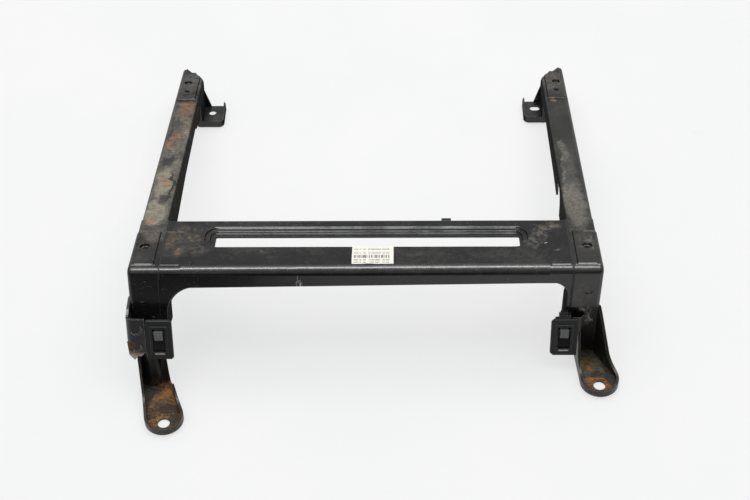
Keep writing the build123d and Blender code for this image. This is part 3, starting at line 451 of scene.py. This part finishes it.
def old_sealer(name):
    """Dried grey residue, crumbly, darker in its hollows."""
    finish = Finish(name)
    coarse = finish.noise(260.0, 5.0, 0.7)
    grain = finish.noise(1300.0, 3.0, 0.7, shift=3.0)
    colour = finish.mix(finish.step(coarse, 0.4, 0.65), srgb(52, 50, 47), srgb(134, 130, 124))
    return finish.shade(colour, 0.7 + 0.2 * grain, grain + coarse, 0.0002, specular_ior_level=0.35)


def marked_paper(name):
    """Soiled paper label with generic grey rows and plain upright bars."""
    finish = Finish(name)
    across, run, _ = finish.seat_axes()
    fibre = finish.noise(1500.0, 4.0, 0.7)
    soil = finish.noise(60.0, 5.0, 0.65, shift=4.0)
    colour = finish.mix(finish.step(soil, 0.5, 0.8) * 0.35, srgb(240, 239, 228), srgb(196, 190, 172))
    words = finish.step(finish.noise(620.0, 1.0, 0.5, stretch=(1.0, 0.02, 0.02)), 0.44, 0.5)
    ink = None
    for middle, half in ((-4.6, 0.9), (-9.8, 0.55), (-12.2, 0.45), (-22.6, 1.0), (-26.4, 0.8)):
        row = finish.step(abs(run - middle), half, half * 0.6) * words
        ink = row if ink is None else ink.union(row)
    stripes = finish.step(finish.noise(880.0, 0.0, 0.5, stretch=(1.0, 0.0, 0.0), shift=9.0), 0.46, 0.5)
    bars = finish.step(abs(run + 16.8), 2.6, 2.4) * stripes
    ink = ink.union(bars) * finish.step(abs(across - 6.0), 17.0, 16.4)
    colour = finish.mix(ink * 0.75, colour, srgb(64, 64, 66))
    return finish.shade(colour, 0.62 + 0.1 * fibre, fibre + soil, 0.00006, rounding=0.0002)


def dress(material, *nodes):
    """Gives a CAD node its finish in every material slot."""
    for name in nodes:
        mesh = frame["nodes"][name].data
        if not mesh.materials:
            mesh.materials.append(material)
        for place in range(len(mesh.materials)):
            mesh.materials[place] = material


def sheet_piece(name, points, material, body):
    """A piece made of a grid of points, closed by its own rows, that rides on a body."""
    rows, columns = points.shape[:2]
    mesh = bpy.data.meshes.new(name)
    index = np.arange(rows * columns).reshape(rows, columns)
    quads = np.stack((index[:-1, :-1], index[:-1, 1:], index[1:, 1:], index[1:, :-1]), axis=-1)
    mesh.from_pydata(points.reshape(-1, 3), [], quads.reshape(-1, 4).tolist())
    mesh.polygons.foreach_set("use_smooth", np.ones(len(mesh.polygons), dtype=bool))
    mesh.materials.append(material)
    mesh.update()
    piece = bpy.data.objects.new(name, mesh)
    bpy.context.scene.collection.objects.link(piece)
    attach(piece, body)
    return piece


def thicken(piece, thickness):
    """Gives a sheet its thickness, half of it to each side."""
    sheet = piece.modifiers.new("sheet", "SOLIDIFY")
    sheet.thickness = thickness
    sheet.offset = 0.0


def lumpy_patch(middle, size, seed, height):
    """Points of a lumpy patch on an upright front face.

    For u and v from -1 to 1 and a size of (a, b) the patch is the middle, plus u a/2 across,
    v b/2 up and h ahead, with h = height ((1 - u^2)(1 - v^2)(0.8 + 0.24 w) - 0.12) and w a
    sum of three waves. The width wanders a little with v. h is below 0 along the rim, so that
    the rim sinks into the face.
    """
    u, v = np.meshgrid(np.linspace(-1.0, 1.0, 36), np.linspace(-1.0, 1.0, 36), indexing="ij")
    crown = (1.0 - u**2) * (1.0 - v**2)
    waves = np.sin(5.1 * u + 3.0 * v + seed) + np.sin(8.3 * v - 4.0 * u + 2.0 * seed)
    waves = waves + np.sin(13.0 * u + 11.0 * v + 3.0 * seed)
    h = height * (crown * (0.8 + 0.24 * waves) - 0.12)
    wander = 1.0 + 0.18 * np.sin(4.0 * v + seed)
    return np.array(middle) + np.stack((u * wander * size[0] / 2, -h, v * size[1] / 2), axis=-1)


def tail_end():
    """Points of the lower end of the cross member's tail.

    It is an outline in plan, of the face and the flange that turns back from it, carried
    straight down.
    """
    outline = np.array([
        (0.2028, 0.0022), (0.1930, 0.0022), (0.1908, 0.0030), (0.1903, 0.0052), (0.1903, 0.0215),
    ])
    heights = np.linspace(0.0700, 0.0405, 13)
    points = np.empty((len(outline), len(heights), 3))
    points[..., :2] = (outline + (CENTRE_X, FRONT_Y))[:, None, :]
    points[..., 2] = heights
    return points


def rail_tab():
    """Points of the deeper end of the left rail's inner flange, an upright plate.

    For s back and t down from 0 to 1 it hangs from a sloping top edge, and its depth is
    15 mm times the lesser of 1 and 0.55 + 3 s, so that its front lower corner is cut off.
    """
    back, low = np.meshgrid(np.linspace(0.0, 1.0, 13), np.linspace(0.0, 1.0, 9), indexing="ij")
    depth = 0.0150 * np.minimum(1.0, 0.55 + 3.0 * back)
    points = np.empty((*back.shape, 3))
    points[..., 0] = CENTRE_X - RAIL_INNER - 0.0012
    points[..., 1] = -0.0800 + 0.0420 * back
    points[..., 2] = 0.0560 - 0.0130 * back - depth * low
    return points


def rocker_axes(side, turn=0.0):
    """Pivot of a rocker, and its up and out directions when it is turned by an angle."""
    lean = TILTS[side] - turn
    up = np.array((0.0, sin(lean), cos(lean)))
    out = np.array((0.0, -cos(lean), sin(lean)))
    return np.array(PIVOTS[f"{side}_rocker"]), up, out


def finger_pad(side):
    """Points of the ribbed pad on the upper half of a rocker.

    Over its half width u from -1 to 1 and its height v from 0 to 1 it stands out from the
    pivot by a base, a slant times v, and a rib's rise times sin(ribs pi v) squared.
    """
    pivot, up, out = rocker_axes(side, REST_TURN)
    u, v = np.meshgrid(np.linspace(-1.0, 1.0, 9), np.linspace(0.0, 1.0, 61), indexing="ij")
    lift = PAD_OUT + PAD_SLANT * v + RIB_RISE * np.sin(RIBS * np.pi * v) ** 2
    points = pivot + (PAD_HALF * u)[..., None] * np.array((1.0, 0.0, 0.0))
    return points + (PAD_START + PAD_HIGH * v)[..., None] * up + lift[..., None] * out


class SEATBASE_PG_look(bpy.types.PropertyGroup):
    """Colours and wear of the steel and plastic."""

    paint: bpy.props.FloatVectorProperty(
        name="Paint", description="Black paint of the steel", subtype="COLOR",
        size=4, min=0.0, max=1.0, default=(0.0075, 0.0077, 0.0082, 1.0),
    )
    plastic: bpy.props.FloatVectorProperty(
        name="Plastic", description="Black plastic of the switch units", subtype="COLOR",
        size=4, min=0.0, max=1.0, default=(0.0095, 0.01, 0.0105, 1.0),
    )
    wear: bpy.props.FloatProperty(
        name="Edge wear", description="How far the paint has worn off the edges",
        subtype="FACTOR", min=0.0, max=1.0, default=0.5,
    )


class SEATBASE_PG_stage(bpy.types.PropertyGroup):
    """Floor, light and camera."""

    floor_tone: bpy.props.FloatProperty(
        name="Floor tone", description="Brightness of the floor and backdrop",
        subtype="FACTOR", min=0.0, max=1.0, default=0.93,
    )
    plain_share: bpy.props.FloatProperty(
        name="Plain floor", description="How far the camera sees the floor without light and shadow",
        subtype="FACTOR", min=0.0, max=1.0, default=0.7,
    )
    sky: bpy.props.FloatProperty(
        name="Sky light", description="Strength of the even light from above", min=0.0, default=0.8,
    )
    front: bpy.props.FloatProperty(
        name="Front light", description="Strength of the dim light from the low front", min=0.0, default=0.04,
    )
    lamp: bpy.props.FloatProperty(
        name="Lamp power", description="Power of the soft lamp overhead",
        subtype="POWER", min=0.0, default=20.0,
    )
    strip: bpy.props.FloatProperty(
        name="Strip power", description="Power of the narrow lamp that is seen in the gloss alone",
        subtype="POWER", min=0.0, default=32.0,
    )
    lens: bpy.props.FloatProperty(
        name="Lens", description="Focal length on a 36 mm wide sensor", min=1.0, default=69.6,
    )


class SEATBASE_OT_frame_steel(bpy.types.Operator):
    """Finish the rails, their legs and the cross member"""

    bl_idname = "seatbase.frame_steel"
    bl_label = "Finish the frame"

    def execute(self, context):
        look = context.scene.seatbase_look
        member = worn_black("member_paint", look, (
            ((-178.0, 8.0, 15.0, 34.0), (92, 84, 74), 0.5, 0.5),
            ((-187.0, 12.0, 4.0, 16.0), (116, 92, 72), 0.5, 0.4),
            ((-178.0, -10.0, 3.0, 9.0), (140, 104, 80), 0.6, 0.5),
            ((-163.0, 17.0, 8.0, 13.0), (112, 102, 78), 0.6, 0.7),
            ((-158.0, -6.0, 9.0, 14.0), (100, 92, 80), 0.45, 0.7),
            ((-168.0, 32.0, 10.0, 6.0), (92, 88, 78), 0.45, 0.8),
            ((177.0, 36.0, 14.0, 8.0), (122, 110, 92), 0.7, 0.7),
            ((166.0, 20.0, 9.0, 11.0), (110, 106, 98), 0.6, 0.8),
            ((171.5, 7.3, 2.0, 1.4), (212, 208, 196), 0.75, 0.4),
            ((183.0, -8.0, 1.8, 1.4), (160, 156, 148), 0.6, 0.6),
            ((158.0, 8.0, 5.0, 10.0), (110, 108, 102), 0.5, 0.8),
            ((-97.0, -12.0, 3.0, 4.0), (118, 112, 104), 0.4, 0.5),
            ((55.0, -12.0, 26.0, 5.0), (84, 82, 80), 0.25, 0.3),
        ), ((-192.2, -46.0, 50.0, 0.9), (193.6, -76.0, 50.0, 1.0)), (
            # Bars: the three grey ones behind the slot are painted highlights on the steps of the recess, the
            # near-black ones by the front bead are painted shade in its creases, and the glint ones at its ends
            # are painted highlights
            (34.7, -146.0, 147.0, 0.7, (176, 178, 178), 0.95),
            (29.7, -143.0, 144.0, 0.7, (150, 152, 152), 0.9),
            (26.6, -144.0, 144.0, 1.6, (104, 106, 106), 0.8),
            (-31.2, -170.0, 170.0, 0.9, CREASE_SHADE, 0.9),
            (-39.8, -190.0, 190.0, 1.0, CREASE_SHADE, 0.9),
            (-30.2, 175.0, 191.0, 1.3, GLINT, 0.7),
            (-30.2, -191.0, -175.0, 1.3, GLINT, 0.7),
            (-34.6, 175.0, 192.0, 1.2, CREASE_SHADE, 0.8),
            (26.6, -191.0, -177.0, 0.8, (150, 122, 92), 0.7),
        ), (
            (-63.8, -55.0, -48.0, 0.4), (-61.4, -57.0, -49.0, 0.45), (-62.6, -49.0, -44.0, 0.35),
            (-60.0, -53.0, -50.0, 0.35),
        ), dust=0.2)
        dress(member, "cross_member")
        left = worn_black("left_rail_paint", look, (
            ((-207.0, 160.0, 24.0, 150.0), (118, 113, 102), 0.8, 0.3),
            ((-206.0, 276.0, 9.0, 20.0), (150, 108, 74), 0.8, 0.5),
            ((-203.0, 246.0, 7.0, 18.0), (132, 112, 88), 0.7, 0.4),
            ((-209.0, 205.0, 5.0, 18.0), (156, 108, 68), 0.75, 0.5),
            ((-199.0, 195.0, 6.0, 22.0), (112, 110, 100), 0.6, 0.4),
            ((-208.0, 118.0, 8.0, 30.0), (152, 146, 126), 0.85, 0.1),
            ((-208.0, 114.0, 5.0, 9.0), (158, 116, 78), 0.7, 0.3),
            ((-209.0, 62.0, 11.0, 24.0), (150, 144, 124), 0.85, 0.1),
            ((-213.0, 48.0, 6.0, 5.0), (156, 116, 72), 0.7, 0.5),
            ((-197.0, 60.0, 4.0, 20.0), (104, 101, 94), 0.6, 0.5),
            ((-204.0, 27.0, 16.0, 2.0), (150, 106, 74), 0.7, 0.6),
            ((-210.0, 162.0, 7.0, 12.0), (26, 26, 25), 0.95, 0.2),
            ((-201.0, 118.0, 1.7, 38.0), (20, 19, 18), 0.95, 0.0),
            ((-204.0, 84.0, 4.5, 12.0), (30, 29, 28), 0.9, 0.2),
            ((-214.0, 172.0, 3.5, 22.0), (34, 34, 32), 0.8, 0.3),
            ((-198.0, 170.0, 3.0, 14.0), (40, 40, 38), 0.7, 0.3),
            ((-211.0, 238.0, 4.0, 12.0), (48, 48, 44), 0.7, 0.3),
            ((-207.0, 300.0, 14.0, 2.6), (12, 12, 12), 0.8, 0.3),
            ((-216.0, 235.0, 2.0, 30.0), (40, 39, 37), 0.8, 0.2),
            ((-206.0, -24.0, 13.0, 5.0), (88, 82, 74), 0.4, 0.8),
            ((-204.0, 15.0, 13.0, 9.0), (118, 108, 98), 0.6, 0.5),
            ((-207.0, 338.0, 15.0, 28.0), (112, 110, 104), 0.6, 0.5),
            ((-200.0, 222.0, 6.0, 12.0), (150, 140, 122), 0.7, 0.4),
            ((-212.0, 180.0, 6.0, 16.0), (132, 126, 110), 0.7, 0.4),
            ((-199.0, 148.0, 5.0, 20.0), (140, 136, 122), 0.7, 0.4),
        ), ((-192.6, -46.0, 50.0, 0.9),), (
            (26.6, -218.0, -197.0, 0.8, (150, 128, 100), 0.6),
            # The near-black bar is painted shade in the pilot hole of the rear pad, and the glint bar is a painted
            # highlight at the end of the bead
            (318.0, -212.2, -205.8, 2.4, (4, 4, 4), 1.0),
            (-30.2, -218.0, -197.0, 1.3, GLINT, 0.6),
        ), dust=0.2, scrape=1.0, roughness=0.22)
        dress(left, "left_rail")
        right = worn_black("right_rail_paint", look, (
            ((206.0, 110.0, 10.0, 74.0), (96, 94, 87), 0.65, 0.3),
            ((205.0, 78.0, 12.0, 46.0), (116, 112, 102), 0.75, 0.15),
            ((214.0, 8.0, 4.0, 16.0), (120, 116, 108), 0.6, 0.6),
            ((203.0, 180.0, 5.0, 26.0), (126, 121, 108), 0.7, 0.4),
            ((204.0, 96.0, 6.0, 24.0), (120, 115, 104), 0.65, 0.4),
            ((209.0, 52.0, 9.0, 20.0), (110, 105, 95), 0.55, 0.4),
            ((199.0, 130.0, 2.0, 40.0), (150, 146, 134), 0.55, 0.6),
            ((206.0, 338.0, 15.0, 28.0), (106, 102, 92), 0.65, 0.5),
            ((206.0, 302.0, 14.0, 4.0), (14, 14, 14), 0.85, 0.2),
            ((203.0, 293.0, 5.0, 6.0), (164, 116, 84), 0.85, 0.3),
            ((208.0, 29.0, 15.0, 1.6), (134, 124, 108), 0.6, 0.6),
            ((208.0, 6.0, 12.0, 20.0), (88, 86, 81), 0.4, 0.7),
            ((205.0, -62.0, 10.0, 16.0), (98, 96, 90), 0.45, 0.5),
            ((202.0, -88.0, 8.0, 10.0), (104, 101, 94), 0.5, 0.6),
        ), ((194.4, -76.0, 50.0, 1.0),), (
            (26.6, 197.0, 219.0, 0.8, (140, 134, 122), 0.6),
            # The near-black bar is painted shade in the pilot hole of the rear pad, the glint bar a painted
            # highlight at the end of the bead, and the last one painted shade in the crease below it
            (319.8, 205.6, 211.8, 2.4, (4, 4, 4), 1.0),
            (-30.2, 197.0, 218.0, 1.3, GLINT, 0.7),
            (-34.8, 196.0, 218.0, 1.2, CREASE_SHADE, 0.8),
        ), dust=0.16, scrape=0.7, roughness=0.24, haze=0.06)
        dress(right, "right_rail")
        return {"FINISHED"}


class SEATBASE_OT_feet(bpy.types.Operator):
    """Finish the front feet, the rear feet and the steel straps"""

    bl_idname = "seatbase.feet"
    bl_label = "Finish the feet"

    def execute(self, context):
        look = context.scene.seatbase_look
        left = foot_finish("left_foot_finish", look, "front_left_floor_hole", (
            ((0.0, 6.0, 18.0, 46.0), (152, 112, 70), 0.9),
            ((4.0, 38.0, 14.0, 12.0), (172, 118, 66), 0.85),
            ((-8.0, -4.0, 12.0, 12.0), (160, 116, 70), 0.85),
            ((-10.0, 26.0, 6.0, 10.0), (140, 112, 78), 0.6),
        ), (
            ((3.0, 17.0, 13.0, 4.5), 0.8),
            ((9.0, 7.0, 5.0, 9.0), 0.7),
            ((-11.0, 10.0, 4.0, 8.0), 0.6),
        ), rim_tint=(112, 94, 72))
        dress(left, "left_front_foot")
        right = foot_finish("right_foot_finish", look, "front_right_floor_hole", (
            ((-8.0, 18.0, 16.0, 26.0), (118, 108, 90), 0.75),
            ((-11.0, 28.0, 9.0, 9.0), (132, 110, 62), 0.85),
            ((-8.0, 21.0, 3.0, 3.0), (186, 122, 70), 0.9),
            ((-2.0, 6.0, 13.0, 5.0), (178, 118, 66), 0.9),
            ((0.0, -2.0, 14.0, 12.0), (156, 106, 60), 0.8),
        ), (
            ((-4.0, 13.0, 9.0, 3.0), 0.6),
        ))
        dress(right, "right_front_foot")
        dress(scaled_steel("left_strap_scale", look), "left_strap")
        rear = worn_black("rear_foot_paint", look, dust=0.3, roughness=0.3)
        dress(rear, "left_rear_foot", "right_rear_foot")
        dress(worn_black("strap_paint", look, dust=0.5, roughness=0.4, haze=0.12), "right_strap")
        tail = worn_black("tail_paint", look, dust=0.1, roughness=0.22)
        thicken(sheet_piece("right_tail_end", tail_end(), tail, "base"), 0.0016)
        thicken(sheet_piece("left_rail_tab", rail_tab(), tail, "base"), 0.0012)
        # Crumbs of dried residue on the tongue of the right foot and beside the bezel:
        # place across, ahead of the web and up, size, seed and height
        if float(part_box("right_front_foot")[0][1]) >= WEB_Y:
            raise RuntimeError("the right foot does not reach ahead of its web")
        sealer = old_sealer("dried_residue")
        lumps = (
            (0.3935, 0.0, 0.0640, (0.0110, 0.0080), 0.4, 0.0024),
            (0.3985, 0.0, 0.0592, (0.0080, 0.0090), 2.1, 0.0026),
            (0.3975, 0.0015, 0.0520, (0.0070, 0.0085), 3.3, 0.0022),
            (0.4012, 0.0, 0.0478, (0.0062, 0.0050), 5.2, 0.0018),
        )
        for number, (x, ahead, z, size, seed, height) in enumerate(lumps, 1):
            points = lumpy_patch((x, WEB_Y - ahead, z), size, seed, height)
            sheet_piece(f"residue_{number}", points, sealer, "base")
        return {"FINISHED"}


class SEATBASE_OT_switch_units(bpy.types.Operator):
    """Finish the two rocker units and the plastic arm of the left one"""

    bl_idname = "seatbase.switch_units"
    bl_label = "Finish the switch units"

    def execute(self, context):
        look = context.scene.seatbase_look
        shell = grained_plastic("unit_plastic", tuple(look.plastic), 0.42)
        for side in TILTS:
            dress(shell, f"{side}_bezel", f"{side}_housing")
            button = rocker_plastic(side)
            dress(button, f"{side}_rocker")
            dress(pale_lens(f"{side}_lamp_lens"), f"{side}_lamp")
            dress(plated_metal(f"{side}_blade_metal", srgb(190, 172, 130), 0.3), f"{side}_terminals")
            dress(plated_metal(f"{side}_pin_metal", srgb(150, 148, 144), 0.3), f"{side}_pin")
            sheet_piece(f"{side}_grip", finger_pad(side), button, f"{side}_rocker")
        # The arm's bright edges are a painted highlight along its crescent ribs and rims
        arm = grained_plastic("wrap_plastic", tuple(look.plastic), 0.2,
                              edge=0.9, film=0.03, worn=165, mirror=0.5)
        dress(arm, "left_wrap")
        dress(shell, "right_lug")
        return {"FINISHED"}


class SEATBASE_OT_small_parts(bpy.types.Operator):
    """Finish the weld nuts, the cable clip and the label"""

    bl_idname = "seatbase.small_parts"
    bl_label = "Finish the small parts"

    def execute(self, context):
        look = context.scene.seatbase_look
        nut = plated_metal("nut_metal", srgb(128, 124, 116), 0.42)
        dress(nut, "front_weld_nuts", "rear_weld_nuts")
        dress(grained_plastic("clip_plastic", tuple(look.plastic), 0.5), "cable_clip")
        dress(marked_paper("label_paper"), "label")
        return {"FINISHED"}


class SEATBASE_OT_stage(bpy.types.Operator):
    """Lay the pale floor, the light and the camera"""

    bl_idname = "seatbase.stage"
    bl_label = "Set the stage"

    def execute(self, context):
        stage = context.scene.seatbase_stage
        tone = stage.floor_tone
        # Floor: a flat sheet just under the feet
        corners = [(-2.2, -0.78), (2.6, -0.78), (2.6, 2.4), (-2.2, 2.4)]
        mesh = bpy.data.meshes.new("floor")
        mesh.from_pydata([(x, y, -0.0006) for x, y in corners], [], [(0, 1, 2, 3)])
        floor = bpy.data.objects.new("floor", mesh)
        context.scene.collection.objects.link(floor)
        finish = Finish("floor_paper")
        haze = finish.step(finish.noise(4.0, 4.0, 0.6), 0.35, 0.7)
        smudge = finish.step(finish.noise(26.0, 4.0, 0.6, shift=3.0), 0.66, 0.78) * 0.3
        pale = (tone, tone, tone, 1.0)
        colour = finish.mix(haze, (tone * 0.975, tone * 0.98, tone * 0.985, 1.0), pale)
        colour = finish.mix(smudge, colour, (tone * 0.9, tone * 0.9, tone * 0.9, 1.0))
        # The camera sees the floor mostly as its own plain tone, under a faint shadow, and so do
        # mirror images and clear parts
        matt = finish.add("ShaderNodeBsdfDiffuse", None, {"Color": colour})
        plain = finish.add("ShaderNodeEmission", None, {"Color": colour, "Strength": 1.0})
        path = finish.add("ShaderNodeLightPath")
        camera_ray, glossy_ray, clear_ray = (
            Value(finish, path.outputs[f"Is {kind} Ray"]) for kind in ("Camera", "Glossy", "Transmission")
        )
        seen = camera_ray.union(glossy_ray).union(clear_ray)
        surface = finish.add("ShaderNodeMixShader", None, {
            0: seen * stage.plain_share, 1: matt.outputs[0], 2: plain.outputs[0],
        })
        finish.add("ShaderNodeOutputMaterial", None, {"Surface": surface.outputs[0]})
        mesh.materials.append(finish.material)
        # World: about as pale as the floor to the camera. To all other rays it is a sky that is
        # bright above and dim towards the low front
        world = bpy.data.worlds.new("studio")
        context.scene.world = world
        world.use_nodes = True
        graph = Graph(world.node_tree)
        direction = graph.split(graph.add("ShaderNodeTexCoord").outputs["Generated"])
        high = graph.step(direction[2], 0.25, 0.75, 0.42, 1.0) * stage.sky
        not_low = graph.step(direction[2], 0.2, 0.6).union(graph.step(direction[1], -0.75, -0.2))
        even = high * not_low + (1.0 - not_low) * stage.front
        path = graph.add("ShaderNodeLightPath")
        pick = graph.add("ShaderNodeMix", {"data_type": "FLOAT"}, {
            0: path.outputs["Is Camera Ray"], 2: even, 3: tone * 0.97,
        })
        light = graph.add("ShaderNodeBackground", None, {
            "Color": (1.0, 1.0, 1.0, 1.0), "Strength": pick.outputs[0],
        })
        graph.add("ShaderNodeOutputWorld", None, {"Surface": light.outputs[0]})
        # Two lamps overhead: a wide soft one, and a narrow one that is seen in the gloss alone
        lamps = (
            ("overhead", (2.2, 1.6), (0.2, 0.0, 1.9), stage.lamp, True),
            ("strip", (1.5, 0.34), (0.2, -0.25, 1.8), stage.strip, False),
        )
        for name, size, place, power, on_colour in lamps:
            lamp = bpy.data.lights.new(name, "AREA")
            lamp.shape = "RECTANGLE"
            lamp.size, lamp.size_y = size
            lamp.energy = power
            holder = bpy.data.objects.new(name, lamp)
            holder.location = place
            holder.visible_diffuse = on_colour
            context.scene.collection.objects.link(holder)
        # Camera from the fitted view: yaw and pitch of the line of sight, then roll about it
        yaw, pitch, roll = radians(-1.595), radians(44.972), radians(1.262)
        ahead = Vector((sin(yaw) * cos(pitch), cos(yaw) * cos(pitch), -sin(pitch)))
        level = Vector((cos(yaw), -sin(yaw), 0.0))
        below = ahead.cross(level)
        right = cos(roll) * level + sin(roll) * below
        down = cos(roll) * below - sin(roll) * level
        camera = bpy.data.cameras.new("camera")
        camera.sensor_width = 36.0
        camera.lens = stage.lens
        viewer = bpy.data.objects.new("camera", camera)
        turn = Matrix((right, -down, -ahead)).transposed().to_4x4()
        viewer.matrix_world = Matrix.Translation((0.2224, -1.3084, 1.0823)) @ turn
        context.scene.collection.objects.link(viewer)
        context.scene.camera = viewer
        context.scene.view_settings.view_transform = "Standard"
        return {"FINISHED"}


class SEATBASE_PT_panel(bpy.types.Panel):
    """Steps of the seat base, in order"""

    bl_label = "Seat base"
    bl_space_type = "VIEW_3D"
    bl_region_type = "UI"
    bl_category = "Seat base"

    def draw(self, context):
        for step in STEPS:
            self.layout.operator(step.bl_idname)
        for group in (context.scene.seatbase_look, context.scene.seatbase_stage):
            for key in group.__annotations__:
                self.layout.prop(group, key)


STEPS = (
    SEATBASE_OT_frame_steel,
    SEATBASE_OT_feet,
    SEATBASE_OT_switch_units,
    SEATBASE_OT_small_parts,
    SEATBASE_OT_stage,
)
CLASSES = (SEATBASE_PG_look, SEATBASE_PG_stage, *STEPS, SEATBASE_PT_panel)


def register():
    for cls in CLASSES:
        bpy.utils.register_class(cls)
    bpy.types.Scene.seatbase_look = bpy.props.PointerProperty(type=SEATBASE_PG_look)
    bpy.types.Scene.seatbase_stage = bpy.props.PointerProperty(type=SEATBASE_PG_stage)


def unregister():
    del bpy.types.Scene.seatbase_stage
    del bpy.types.Scene.seatbase_look
    for cls in reversed(CLASSES):
        bpy.utils.unregister_class(cls)


def main():
    register()
    bpy.ops.seatbase.frame_steel()
    bpy.ops.seatbase.feet()
    bpy.ops.seatbase.switch_units()
    bpy.ops.seatbase.small_parts()
    bpy.ops.seatbase.stage()


if __name__ == "__main__":
    main()
